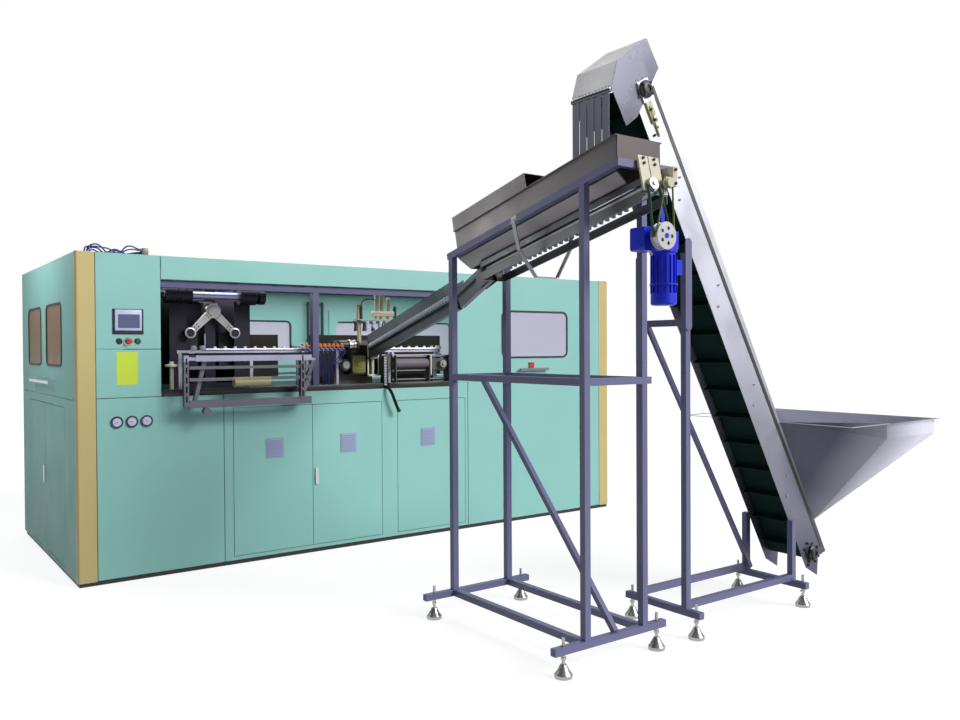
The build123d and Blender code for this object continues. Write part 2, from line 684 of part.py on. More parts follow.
# Toggle links: forged rods with a ring at each end, recessed web and a split top eye with two bolts
link_length = sqrt(link_spread ** 2 + (link_pin_height - link_foot_height) ** 2)
for name, direction, face_y in (("link_left", -1, link_plane - 0.3),
                                ("link_right", 1, link_plane + link_thickness + 0.3)):
    along = Vector(direction * link_spread, 0, link_foot_height - link_pin_height)
    pin_plane = Plane(origin=point(clamp_middle, face_y, link_pin_height), x_dir=along, z_dir=(0, -1, 0))
    with BuildPart() as link:
        with BuildSketch(pin_plane) as outline:
            Circle(link_head_radius)
            with Locations((link_length, 0)):
                Circle(link_foot_radius)
            with BuildLine():
                Polyline((0, link_width * 0.62), (link_length, link_width * 0.44),
                         (link_length, -link_width * 0.44), (0, -link_width * 0.62), close=True)
            make_face()
        extrude(outline.sketch, amount=link_thickness)
        with BuildSketch(pin_plane) as bores:
            Circle(top_pin_radius + running_clearance)
            with Locations((link_length, 0)):
                Circle(foot_bore_radius)
        extrude(bores.sketch, amount=link_thickness, mode=Mode.SUBTRACT)
        with BuildSketch(pin_plane.offset(link_thickness)) as recess:
            with Locations((link_length * 0.57, 0)):
                SlotOverall(link_length * 0.42, 20)
        extrude(recess.sketch, amount=-5, mode=Mode.SUBTRACT)
        with BuildSketch(pin_plane.offset(link_thickness)) as split:
            with Locations((link_head_radius + 6, 0)):
                Rectangle(4, 66)
        extrude(split.sketch, amount=-6, mode=Mode.SUBTRACT)
    link.part.label = name
    export_step(link.part, f"parts/{name}.step")

# Preform transfer: two rail lengths on posts and between them a strip of push-in air fittings
valve_first = 1668.0
valve_pitch = 38.0
valve_count = 10
rail_top = spindle_height - 10
rail_y = (transfer_plane - 14, transfer_plane + 14)
infeed_last = infeed_first + (infeed_count - 1) * spindle_pitch
with BuildPart() as transfer_rail:
    slab((700, 1655), rail_y, (rail_top - 22, rail_top))
    slab((infeed_first - 25, infeed_last + 60), rail_y, (rail_top - 22, rail_top))
    slab((infeed_first + 40, infeed_last + 80), (transfer_plane - 40, transfer_plane - 34),
         (rail_top - 62, rail_top - 42))
    slab((infeed_first + 40, infeed_first + 60), (transfer_plane - 40, transfer_plane + 10),
         (rail_top - 62, rail_top - 22))
    slab((infeed_last + 40, infeed_last + 60), (transfer_plane - 40, transfer_plane + 10),
         (rail_top - 62, rail_top - 22))
    for x in (712, 1240, 1620, infeed_first + 20, infeed_last + 20):
        slab((x, x + 24), (transfer_plane - 10, transfer_plane + 10), (bed_height, rail_top - 22))
    for x in (712, 1620):
        slab((x - 16, x + 40), (transfer_plane - 30, transfer_plane + 30), (bed_height, bed_height + 10))
    slab((valve_first - 12, valve_first + (valve_count - 1) * valve_pitch + 12),
         (transfer_plane - 20, transfer_plane + 20), (1538, 1556))
    for x in (1700, 1960):
        slab((x, x + 20), (transfer_plane, transfer_plane + 20), (bed_height, 1538))
    for i in range(valve_count):
        x = valve_first + i * valve_pitch
        rod(point(x, transfer_plane, 1556), point(x, transfer_plane, 1574), 9)
        rod(point(x, transfer_plane, 1574), point(x, transfer_plane, 1580), 12)
    for first, count in ((transfer_first, transfer_count), (infeed_first, infeed_count)):
        for i in range(count):
            x = first + i * spindle_pitch
            rod(point(x, transfer_plane, rail_top), point(x, transfer_plane, rail_top + 14), 13)
            rod(point(x, transfer_plane, rail_top + 14), point(x, transfer_plane, rail_top + 26), 9)
    for x in (819, 885, 1600):
        rod(point(x, transfer_plane, rail_top), point(x, transfer_plane, rail_top + 34), 24)
    rod(point(905, transfer_plane, rail_top), point(905, transfer_plane, rail_top + 120), 5)
transfer_rail.part.label = "transfer_rail"
export_step(transfer_rail.part, "parts/transfer_rail.step")

# Infeed drive: gearbox and round motor on a back plate, drum above, open bracket and cable chain
with BuildPart() as infeed_drive:
    slab((1990, 2345), (300, 312), (bed_height, 1625))
    slab((1990, 2230), (200, 300), (bed_height, bed_height + 20))
    slab((2083, 2215), (190, 300), (1345, 1505))
    rod(point(2028, 300, 1424), point(2028, 165, 1424), 46)
    rod(point(2028, 165, 1424), point(2028, 155, 1424), 38)
    rod(point(2145, 190, 1425), point(2145, 172, 1425), 48)
    rod(point(2010, 240, 1585), point(2086, 240, 1585), 34)
    rod(point(2086, 240, 1585), point(2100, 240, 1585), 42)
    rod(point(2100, 240, 1585), point(2160, 240, 1585), 30)
    rod(point(2150, 240, 1585), point(2174, 240, 1585), 42)
    slab((2040, 2060), (240, 300), (1560, 1610))
    for x in (2230, 2325):
        slab((x, x + 12), (170, 300), (1340, 1585))
    slab((2230, 2337), (170, 300), (1330, 1345))
    slab((2272, 2290), (200, 300), (1345, 1500))
    with BuildSketch(Plane(origin=point(2352, 120, 0), x_dir=(1, 0, 0), z_dir=(0, -1, 0))) as loop:
        with BuildLine():
            Line((0, bed_height), (0, 1480))
            TangentArc((0, 1480), (34, 1480), tangent=(0, 1))
            Line((34, 1480), (34, 1380))
        trace(line_width=26)
    extrude(loop.sketch, amount=28, both=True)
infeed_drive.part.label = "infeed_drive"
export_step(infeed_drive.part, "parts/infeed_drive.step")

# Roller conveyor under the second rail: side plates, cross bars and the large roller between them
conveyor_plates = (2440, 2766, 2960)
conveyor_y = (70, 150)
roller_axis_y = 110.0
with BuildPart() as roller_frame:
    for x in conveyor_plates:
        slab((x, x + 8), conveyor_y, (bed_height, 1500))
    for z, r in ((1486, 10), (1370, 9), (1296, 9)):
        rod(point(conveyor_plates[0], roller_axis_y, z), point(conveyor_plates[2] + 8, roller_axis_y, z), r)
    slab((conveyor_plates[1] + 8, conveyor_plates[2]), (90, 130), (1380, 1470))
    for x in conveyor_plates[:2]:
        rod(point(x - 1, roller_axis_y, 1430), point(x + 9, roller_axis_y, 1430), 12.4, mode=Mode.SUBTRACT)
roller_frame.part.label = "roller_frame"
export_step(roller_frame.part, "parts/roller_frame.step")

with BuildPart() as feed_roller:
    rod(point(conveyor_plates[0] + 9, roller_axis_y, 1430), point(conveyor_plates[1] - 1, roller_axis_y, 1430),
        42)
    rod(point(conveyor_plates[0] - 6, roller_axis_y, 1430), point(conveyor_plates[1] + 8, roller_axis_y, 1430),
        12)
    fillet(feed_roller.edges().filter_by(GeomType.CIRCLE).filter_by(lambda e: e.radius > 40), 4)
feed_roller.part.label = "feed_roller"
export_step(feed_roller.part, "parts/feed_roller.step")

# Preform loader: post, guide plate and cylinders; the grippers lift on the two guide rods
loader_plate_z = 1790.0
loader_last = loader_first + (loader_count - 1) * 80
with BuildPart() as loader_column:
    slab((2195, 2219), (loader_plane + 18, loader_plane + 42), (1625, 1922))
    slab((2195, 2219), (loader_plane + 18, 300), (1600, 1625))
    slab((2160, 2557), (loader_plane - 28, loader_plane + 42), (loader_plate_z, loader_plate_z + 8))
    slab((2318, 2509), (loader_plane - 24, loader_plane + 24), (1825, 1845))
    for x in (2352, 2400, 2466):
        rod(point(x, loader_plane, loader_plate_z), point(x, loader_plane, 1993 - (x == 2466) * 30), 17)
    for x in (2180, 2528):
        rod(point(x, loader_plane, loader_plate_z), point(x, loader_plane, 1900), 13)
        rod(point(x, loader_plane, loader_plate_z - 1), point(x, loader_plane, 1901),
            7.4, mode=Mode.SUBTRACT)
loader_column.part.label = "loader_column"
export_step(loader_column.part, "parts/loader_column.step")

with BuildPart() as loader_grippers:
    slab((loader_first - 20, 2545), (loader_plane - 16, loader_plane + 14),
         (loader_plate_z - 20, loader_plate_z - 8))
    for x in (2180, 2528):
        rod(point(x, loader_plane, loader_plate_z - 8), point(x, loader_plane, 1912), 7)
    for i in range(loader_count):
        x = loader_first + i * 80
        spot = Plane(origin=point(x, loader_plane, 0), x_dir=(1, 0, 0), z_dir=(0, -1, 0))
        with BuildSketch(spot) as finger:
            with BuildLine():
                Polyline((0, 1700), (19, 1700), (14, 1735), (14, loader_plate_z - 19),
                         (0, loader_plate_z - 19), close=True)
            make_face()
        revolve(finger.sketch, axis=Axis(point(x, loader_plane, 0), (0, 0, 1)))
loader_grippers.part.label = "loader_grippers"
export_step(loader_grippers.part, "parts/loader_grippers.step")

# Ovens: three lamp banks behind the transfer, open slots along their tops
with BuildPart() as ovens:
    for x in (1300, 2322, 3038):
        slab((x, x + oven_length), (oven_plane, oven_plane + oven_depth), (1300, oven_top))
        slab((x + 60, x + oven_length - 60), (oven_plane + 40, oven_plane + oven_depth - 40),
             (bed_height, 1300))
        slab((x + 8, x + oven_length - 8), (oven_plane + 90, oven_plane + 170), (1360, oven_top),
             mode=Mode.SUBTRACT)
ovens.part.label = "ovens"
export_step(ovens.part, "parts/ovens.step")

# Discharge rack in front of the bed: slotted uprights, diagonals, rails and knob clamp
rack_y = (-150, -115)
with BuildPart() as discharge_rack:
    slab((731, 1590), rack_y, (1472, 1530))
    for z, depth in ((1418, 20), (1336, 22)):
        slab((689, 1590), (-140, -120), (z, z + depth))
    for edge, low in ((650, 1164), (1501, 1178)):
        slab((edge, edge + 32), (-150, -110), (low, 1531))
        for i in range(5):
            slab((edge + 10, edge + 22), (-151, -109), (low + 30 + i * 64, low + 74 + i * 64),
                 mode=Mode.SUBTRACT)
    slab((682, 735), (-146, -120), (1478, 1500))
    slab((687, 1588), (-146, -100), (1151, 1204))
    slab((650, 700), (-146, -120), (1160, 1190))
    for top, foot in (((806, 1482), (735, 1195)), ((1623, 1487), (1524, 1178))):
        tube(point(top[0], -100, top[1]), point(foot[0], -100, foot[1]), 26, 30, side=(0, 1, 0))
    for x in (740, 1530):
        slab((x, x + 30), (-100, 0), (1163, 1193))
    for x in (760, 1560):
        slab((x, x + 24), (-116, transfer_plane - 14), (1500, 1524))
    rod(point(1003, -128, 1318), point(1268, -128, 1318), 30)
    rod(point(803, -120, 1128), point(803, -160, 1128), 26)
    slab((790, 816), (-146, -110), (1128, 1155))
discharge_rack.part.label = "discharge_rack"
export_step(discharge_rack.part, "parts/discharge_rack.step")

# Frame of the trough: four legs, ground and middle rails, brace and two sloping side rails
half_tube = frame_tube / 2
slope = radians(trough_slope)
rail_rise = tan(slope)


def rail_top_at(distance):
    """Height of the side rails' top face at a distance in front of the cabinet."""
    return side_rail_height + (distance - frame_far) * rail_rise


rail_middle = half_tube / cos(slope)
trough_middle = trough_left + trough_width / 2
stub_x = frame_right - frame_tube
with BuildPart() as feed_frame:
    for y in (frame_far, frame_near):
        tube(point(rail_left, -y, ground_rail_height), point(rail_right, -y, ground_rail_height), frame_tube)
    for x in (frame_left, frame_right):
        tube(point(x, -frame_far - half_tube, ground_rail_height),
             point(x, -frame_near + half_tube, ground_rail_height), frame_tube)
        for y in (frame_far, frame_near):
            tube(point(x, -y, ground_rail_height + half_tube), point(x, -y, rail_top_at(y) - rail_middle),
                 frame_tube, side=(0, 1, 0))
        tube(point(x, -frame_far - half_tube, mid_rail_height),
             point(x, -frame_near + half_tube, mid_rail_height), frame_tube)
        end = side_rail_end if x == frame_left else frame_near + frame_tube
        tube(point(x, -side_rail_start, rail_top_at(side_rail_start) - rail_middle),
             point(x, -end, rail_top_at(end) - rail_middle), frame_tube)
    for y in (frame_far, frame_near):
        tube(point(frame_left + half_tube, -y, mid_rail_height),
             point(frame_right - half_tube, -y, mid_rail_height), frame_tube)
    tube(point(frame_right + half_tube, -frame_near, mid_rail_height),
         point(frame_right + half_tube + 32, -frame_near, mid_rail_height), frame_tube)
    beam_z = rail_top_at(side_rail_end) - rail_middle
    tube(point(frame_left - half_tube, -side_rail_end, beam_z),
         point(stub_x + half_tube, -side_rail_end, beam_z), frame_tube)
    tube(point(stub_x, -frame_near + frame_tube, rail_top_at(frame_near - frame_tube) - rail_middle),
         point(stub_x, -side_rail_end, rail_top_at(side_rail_end) - rail_middle), frame_tube)
    brace_x = (frame_left + frame_right) / 2
    tube(point(brace_x + 20, -frame_far, mid_rail_height - 20), point(brace_x, -frame_near, ground_rail_height + 20),
         28, side=(1, 0, 0))
    for a, b in (((1644.5, 2225), (1684, 2069)), ((1684, 2069), (1799, 1932)), ((1799, 1932), (1949, 1932)),
                 ((1949, 1932), (2045, 2092)), ((2045, 2092), (2060, 2215))):
        tube(point(a[0], -2495, a[1]), point(b[0], -2495, b[1]), 28, 5, side=(0, 0, 1))
    for x in (foot_left, foot_right):
        for y in (frame_far, frame_near):
            rod(point(x, -y, foot_height), point(x, -y, ground_rail_height + half_tube + 5),
                spindle_radius + running_clearance, mode=Mode.SUBTRACT)
feed_frame.part.label = "feed_frame"
export_step(feed_frame.part, "parts/feed_frame.step")

# Levelling feet of both frames: bell base, threaded spindle and lock nut
stand_feet = [(x, y) for x in (stand_left, stand_right + 10) for y in (stand_near_foot, stand_far_foot)]
frame_feet = [(x, y) for x in (foot_left, foot_right) for y in (frame_far, frame_near)]
with BuildPart() as levelling_feet:
    for x, y in frame_feet + stand_feet:
        spot = Plane(origin=point(x, -y, 0), x_dir=(1, 0, 0), z_dir=(0, -1, 0))
        with BuildSketch(spot) as bell:
            with BuildLine():
                Polyline((0, 0), (foot_base_radius, 0), (foot_base_radius, 16), (30, 34), (15, foot_height),
                         (0, foot_height), close=True)
            make_face()
        revolve(bell.sketch, axis=Axis(point(x, -y, 0), (0, 0, 1)))
        rod(point(x, -y, foot_height - 1), point(x, -y, spindle_top if (x, y) in frame_feet else 186),
            spindle_radius)
        with BuildSketch(Plane.XY.offset(foot_height + 22)) as nut:
            with Locations((left + x, front - y)):
                RegularPolygon(14, 6)
        extrude(nut.sketch, amount=12)
levelling_feet.part.label = "levelling_feet"
export_step(levelling_feet.part, "parts/levelling_feet.step")

# Trough: folded sheet on the sloping rails, closed near end, and a cover over its far half
rim_far_z = rail_top_at(trough_far) + rim_rise
trough_run = (trough_near - trough_far) / cos(slope)
wall_out = trough_width / 2 - rim_flange
rail_drop = rim_rise * cos(slope)
wall_fold = rail_drop + frame_tube
wall_low = 225.0
wall_low_half = 66.0
guard_run = (2540 - trough_far) / cos(slope)
guard_height = 80.0
guard_start = 8.0


def on_slope(x, run, rise):
    """Point of the trough: offset from its middle, run up the slope, rise square to the rim."""
    return point(trough_middle + x, -trough_far - run * cos(slope) + rise * sin(slope),
                 rim_far_z + run * sin(slope) + rise * cos(slope))


def slope_plane(run):
    """Section plane of the trough, looking up the slope, with its own y square to the rim."""
    return Plane(origin=on_slope(0, run, 0), x_dir=(1, 0, 0), z_dir=(0, -cos(slope), sin(slope)))


with BuildPart() as trough:
    with BuildSketch(slope_plane(0)) as section:
        with BuildLine():
            Polyline((trough_width / 2, 0), (trough_width / 2, -trough_sheet), (wall_out, -trough_sheet),
                     (wall_out, -wall_fold), (wall_low_half, -wall_low),
                     (wall_low_half - 4, -wall_low), (wall_out - trough_sheet, -wall_fold + 1),
                     (wall_out - trough_sheet, 0), close=True)
        make_face()
        mirror(about=Plane.YZ)
    extrude(section.sketch, amount=trough_run)
    end_outline = [(-wall_out, 0), (wall_out, 0), (wall_out, -wall_fold), (wall_low_half, -wall_low),
                   (-wall_low_half, -wall_low), (-wall_out, -wall_fold)]
    plate([on_slope(x, 0, rise) for x, rise in end_outline], trough_sheet, on_slope(0, 50, -100))
    slab((trough_left - 10, trough_left + trough_width + 10), (-trough_near - 120, -trough_near), (1900, 2700),
         mode=Mode.SUBTRACT)
    near_rim = rim_far_z + (trough_near - trough_far) * rail_rise
    plate([point(trough_middle + x, -trough_near, near_rim + rise / cos(slope)) for x, rise in end_outline],
          trough_sheet, on_slope(0, 50, -100))
    for run, right_rail in ((160, frame_right), (1180, stub_x)):
        for inner, outer in ((-wall_out, frame_left + half_tube - trough_middle),
                             (wall_out, right_rail - half_tube - trough_middle)):
            with BuildSketch(slope_plane(run)) as lug:
                with Locations(((inner + outer) / 2, -rail_drop - half_tube)):
                    Rectangle(abs(outer - inner), 20)
            extrude(lug.sketch, amount=40)
    with BuildSketch(slope_plane(guard_start)) as cover:
        with Locations((0, guard_height / 2)):
            Rectangle(trough_width, guard_height)
            Rectangle(trough_width - 2 * trough_sheet, guard_height - 2 * trough_sheet, mode=Mode.SUBTRACT)
        with Locations((0, 0)):
            Rectangle(trough_width - 2 * rim_flange, 3 * trough_sheet, mode=Mode.SUBTRACT)
    extrude(cover.sketch, amount=guard_run)
    with BuildSketch(slope_plane(guard_start)) as end_sheet:
        with Locations((0, guard_height / 2)):
            Rectangle(trough_width, guard_height)
    extrude(end_sheet.sketch, amount=trough_sheet)
trough.part.label = "trough"
export_step(trough.part, "parts/trough.step")

# Roller carrier under the trough: two cross plates with bearing holes, joined by long guard sheets
roller_start = 122.0
roller_end = 1397.0
carrier_half = 85.0
carrier_low = 330.0
roller_x = roller_radius + roller_gap / 2
shaft_radius = 10.0
with BuildPart() as roller_carrier:
    for run in (roller_start - 6, roller_end):
        with BuildSketch(slope_plane(run)) as cross:
            with Locations((0, -(wall_low + 3 + carrier_low) / 2)):
                Rectangle(2 * carrier_half, carrier_low - wall_low - 3)
            if run < roller_end:
                with Locations((0, -carrier_low + 20)):
                    Rectangle(roller_gap + 14, 160, mode=Mode.SUBTRACT)
                with Locations((0, -roller_drop)):
                    Rectangle(roller_gap + 14, 90, mode=Mode.SUBTRACT)
            with Locations((roller_x, -roller_drop), (-roller_x, -roller_drop)):
                Circle(shaft_radius + running_clearance, mode=Mode.SUBTRACT)
        extrude(cross.sketch, amount=6)
    with BuildSketch(slope_plane(roller_start - 6)) as guards:
        for side in (1, -1):
            with Locations((side * (carrier_half - 1.5), -(285 + carrier_low) / 2)):
                Rectangle(3, carrier_low - 285)
            with Locations((side * (carrier_half - 1.5), -wall_low - 15)):
                Rectangle(3, 30)
            with Locations((side * (wall_low_half - 6 + carrier_half) / 2, -wall_low - 1.5)):
                Rectangle(carrier_half - wall_low_half + 6, 3)
    extrude(guards.sketch, amount=roller_end - roller_start + 12)
    slab((trough_left, trough_left + trough_width), (-3420, -3298), (2050, 2262), mode=Mode.SUBTRACT)
roller_carrier.part.label = "roller_carrier"
export_step(roller_carrier.part, "parts/roller_carrier.step")

# Two counter-rotating rollers that line the preforms up in the gap between them
for name, side in (("roller_left", -1), ("roller_right", 1)):
    shaft_reach = 46 if side == -1 else 22
    with BuildPart() as roller:
        rod(on_slope(side * roller_x, roller_start + 1, -roller_drop),
            on_slope(side * roller_x, roller_end - 1, -roller_drop), roller_radius)
        rod(on_slope(side * roller_x, roller_start - 6, -roller_drop),
            on_slope(side * roller_x, roller_end + shaft_reach, -roller_drop), shaft_radius)
        if side == -1:
            rod(on_slope(side * roller_x, roller_end + 18, -roller_drop),
                on_slope(side * roller_x, roller_end + 40, -roller_drop), 30)
    roller.part.label = name
    export_step(roller.part, f"parts/{name}.step")

# Drive at the near end: bearing plates on the cross beam, geared motor hung under it, two flat belts
pulley_x = 1874.0
pulley_z = 2066.0
motor_x = 1992.0
pulley_radius = 58.0
belt_plane = 3326.0
motor_y = (3150.0, 3290.0)
beam_top = beam_z + half_tube
drive_shaft_x = 1900.0
drive_shaft_z = 2313.0
roller_end_point = on_slope(-roller_x, roller_end + 29, -roller_drop)
beam_face = -side_rail_end - half_tube
with BuildPart() as bearing_plates:
    with BuildSketch(slope_plane(roller_end + 6)) as plates:
        for x, plate_middle, width in ((-roller_x, -56, 62), (roller_x, 15, 68)):
            with Locations((plate_middle, -200)):
                Rectangle(width, 170)
            with Locations((x, -roller_drop)):
                Circle(shaft_radius + running_clearance, mode=Mode.SUBTRACT)
    extrude(plates.sketch, amount=10)
    slab((1770, 1890), (beam_face - 16, beam_face), (beam_z - 14, beam_z + 14))
    slab((1936, 1964), (beam_face - 70, beam_face), (2302, 2394))
    slab((1890, 1936), (beam_face - 68, beam_face - 55), (2292, 2342))
    rod(point(drive_shaft_x, beam_face - 58, drive_shaft_z),
        point(drive_shaft_x, beam_face - 90, drive_shaft_z), 22)
bearing_plates.part.label = "bearing_plates"
export_step(bearing_plates.part, "parts/bearing_plates.step")

# Geared motor: worm gearbox with its pulley shaft, upright ribbed motor, terminal box, hanger bar
with BuildPart() as gear_motor:
    slab((1815, 1930), (-motor_y[1] + 28, -motor_y[0] - 20), (2004, 2116))
    fillet(gear_motor.edges().filter_by(Axis.Y), 14)
    slab((1945, 1970), (-side_rail_end - 5, -side_rail_end + 5), (2100, beam_z - half_tube))
    slab((1925, 2048), (-motor_y[1] + 24, -motor_y[0] - 20), (2022, 2106))
    rod(point(motor_x, -3220, 2006), point(motor_x, -3220, 2023), 66)
    rod(point(motor_x, -3220, 1752), point(motor_x, -3220, 2007), 56)
    rod(point(motor_x, -3220, 1810), point(motor_x, -3220, 1752), 62)
    fillet(gear_motor.edges().filter_by(GeomType.CIRCLE).sort_by(Axis.Z)[0], 12)
    for i in range(16):
        angle = 22.5 * i + 11
        with Locations(Location(point(motor_x, -3220, 1900), (0, 0, angle))):
            with Locations((57, 0, 0)):
                Box(14, 4, 182)
    slab((2040, 2084), (-3258, -3182), (1900, 1972))
    rod(point(pulley_x, -3262, pulley_z), point(pulley_x, -belt_plane - 24, pulley_z), 12)
gear_motor.part.label = "gear_motor"
export_step(gear_motor.part, "parts/gear_motor.step")

with BuildPart() as motor_pulley:
    rod(point(pulley_x, -belt_plane + 21, pulley_z), point(pulley_x, -belt_plane - 21, pulley_z),
        pulley_radius)
    for y in (-belt_plane + 21, -belt_plane - 18):
        rod(point(pulley_x, y, pulley_z), point(pulley_x, y - 3, pulley_z), pulley_radius + 6)
    rod(point(pulley_x, -belt_plane + 22, pulley_z), point(pulley_x, -belt_plane - 22, pulley_z),
        12 + running_clearance, mode=Mode.SUBTRACT)
    for i in range(5):
        hole = point(pulley_x + 36 * cos(radians(72 * i)), -belt_plane + 22, pulley_z + 36 * sin(radians(72 * i)))
        rod(hole, hole + Vector(0, -44, 0), 9, mode=Mode.SUBTRACT)
motor_pulley.part.label = "motor_pulley"
export_step(motor_pulley.part, "parts/motor_pulley.step")


def belt_strand(upper, upper_radius, lower, lower_radius, side, y, width):
    """One straight run of a flat belt, tangent to two pulleys on the same side."""
    across = (lower[0] - upper[0], lower[1] - upper[1])
    distance = sqrt(across[0] ** 2 + across[1] ** 2)
    turn = atan2(across[1], across[0]) + side * acos((upper_radius - lower_radius) / distance)
    start = point(upper[0] + upper_radius * cos(turn), y, upper[1] + upper_radius * sin(turn))
    end = point(lower[0] + lower_radius * cos(turn), y, lower[1] + lower_radius * sin(turn))
    tube(start, end, width, 3)


belt_lift = 2.0
with BuildPart() as drive_belts:
    roller_centre = (roller_end_point.X - left, roller_end_point.Z)
    motor_centre = (pulley_x, pulley_z)
    shaft_centre = (drive_shaft_x, drive_shaft_z)
    for side in (1, -1):
        belt_strand(roller_centre, 31.2 + belt_lift, motor_centre, pulley_radius + belt_lift, side,
                    -belt_plane + 6, 15)
        belt_strand(shaft_centre, 22 + belt_lift, motor_centre, pulley_radius + belt_lift, side,
                    -belt_plane - 11, 9)
drive_belts.part.label = "drive_belts"
export_step(drive_belts.part, "parts/drive_belts.step")

# Preform chute: two rails that carry the preforms by their necks, high side sheets, deep guards below
chute_top = on_slope(0, roller_start - 34, -roller_drop + 8)
chute_bend = point(trough_middle, -1708, 1867)
chute_foot = point(2259, 148, 1558)
neck_gap = 26.0
side_height = 110.0
guard_depth = 75.0


def chute_run(start, end, side_height):
    """One straight length of the chute, its side sheets as high as given."""
    path = end - start
    across = path.cross(Vector(0, 0, 1))
    with BuildSketch(Plane(origin=start, x_dir=across, z_dir=path)) as section:
        for side in (1, -1):
            with Locations((side * (neck_gap / 2 + 9), 0)):
                Rectangle(18, 6)
            with Locations((side * (neck_gap / 2 + 19), -side_height / 2 + 3)):
                Rectangle(3, side_height)
            with Locations((side * (neck_gap / 2 + 1.5), guard_depth / 2)):
                Rectangle(3, guard_depth)
        with Locations((0, guard_depth)):
            Rectangle(neck_gap + 6, 3)
    extrude(section.sketch, amount=path.length)


with BuildPart() as chute:
    chute_run(chute_top, chute_bend, 34)
    chute_run(chute_bend, chute_foot, side_height)
    with BuildSketch(slope_plane(roller_start - 10)) as saddle:
        with Locations((0, -281)):
            Rectangle(2 * carrier_half - 20, 98)
            Rectangle(roller_gap + 26, 99, mode=Mode.SUBTRACT)
    extrude(saddle.sketch, amount=4)
    for side in (1, -1):
        edge = side * (neck_gap / 2 + 17.5)
        outline = [on_slope(edge, roller_start - 8, -236), on_slope(edge, roller_start - 8, -326),
                   on_slope(edge, roller_start - 130, -346), on_slope(edge, roller_start - 130, -240)]
        plate(outline, 3, on_slope(side * 200, roller_start - 60, -300))
    slab((2228, 2300), (118, 170), (1474, 1486))
chute.part.label = "chute"
export_step(chute.part, "parts/chute.step")

# Preforms: a row carried by their neck rings in the chute and a row hanging between the rollers
preform_radius = 11.0
preform_length = 66.0
neck_radius = 16.0
preform_pitch = 44.0


def preform(neck):
    """One blown-bottle blank hanging straight down from its neck ring."""
    rod(neck, neck + Vector(0, 0, 4), neck_radius)
    rod(neck + Vector(0, 0, 4), neck + Vector(0, 0, 22), preform_radius)
    rod(neck, neck + Vector(0, 0, -preform_length), preform_radius)


with BuildPart() as preforms:
    chute_path = chute_foot - chute_bend
    steps = int(chute_path.length / preform_pitch)
    for i in range(1, steps):
        preform(chute_bend + chute_path * (i / steps) + Vector(0, 0, 4.8))
    hanging = int((1290 - roller_start) / preform_pitch)
    for i in range(1, hanging):
        preform(on_slope(0, roller_start + i * preform_pitch, -roller_drop + 13))
preforms.part.label = "preforms"
export_step(preforms.part, "parts/preforms.step")

# Elevator: plates along the slope with lips, tie rods and bearings; runs are measured down the slope
lean = radians(elevator_slope)
down = Vector(cos(lean), 0, -sin(lean))
outward = Vector(sin(lean), 0, cos(lean))
elevator_far = elevator_near - elevator_width


def on_belt(run, rise, y):
    """Point of the elevator: run down the slope, rise square to it, distance in front."""
    spot = down * run + outward * rise
    return point(spot.X, -y, spot.Z)


def belt_slab(run_range, rise_range, y_range, mode=Mode.ADD):
    """Box lying along the slope of the elevator."""
    middle = on_belt(sum(run_range) / 2, sum(rise_range) / 2, sum(y_range) / 2)
    with BuildSketch(Plane(origin=middle, x_dir=(0, 1, 0), z_dir=outward)) as area:
        Rectangle(abs(y_range[1] - y_range[0]), run_range[1] - run_range[0])
    extrude(area.sketch, amount=(rise_range[1] - rise_range[0]) / 2, both=True, mode=mode)


lip_height = 70.0
foot_chamfer = 22.0
with BuildPart() as elevator_sides:
    for y, inner in ((elevator_near, -1), (elevator_far, 1)):
        corners = [(plate_top_run, plate_low), (plate_top_run, plate_high),
                   (plate_bottom_run, plate_high), (plate_bottom_run - foot_chamfer, plate_low + 138),
                   (plate_bottom_run + 75, plate_low + 71), (plate_bottom_run - 40, plate_low)]
        plate([on_belt(run, rise, y) for run, rise in corners], side_sheet,
              on_belt(0, plate_low, y + inner * 50))
        belt_slab((plate_top_run, plate_bottom_run - 5), (plate_high - side_sheet, plate_high),
                  sorted((y, y + inner * 16)))
    for run in (-1000, -350, 300, 950):
        rod(on_belt(run, drum_offset, elevator_far + side_sheet + weld_gap),
            on_belt(run, drum_offset, elevator_near - side_sheet - weld_gap), 12)
    for y, outer in ((elevator_near, 1), (elevator_far, -1)):
        tail_range = sorted((y, y + outer * 10))
        head_range = sorted((y + outer * 3, y + outer * 13))
        belt_slab((tail_drum_run - 45, tail_drum_run + 45), (drum_offset - 45, drum_offset + 45), tail_range)
        belt_slab((head_drum_run - 50, head_drum_run + 60), (drum_offset - 42, drum_offset + 42), head_range)
        belt_slab((head_drum_run + 140, head_drum_run + 152), (drum_offset - 16, drum_offset + 16),
                  sorted((y + outer * 3, y + outer * 18)))
        rod(on_belt(head_drum_run + 60, drum_offset, y + outer * 9),
            on_belt(head_drum_run + 150, drum_offset, y + outer * 9), 5)
        for run in (head_drum_run, tail_drum_run):
            rod(on_belt(run, drum_offset, y + outer * 4), on_belt(run, drum_offset, y + outer * 22), 32)
            rod(on_belt(run, drum_offset, y - outer * 6), on_belt(run, drum_offset, y + outer * 23),
                15 + running_clearance, mode=Mode.SUBTRACT)
elevator_sides.part.label = "elevator_sides"
export_step(elevator_sides.part, "parts/elevator_sides.step")

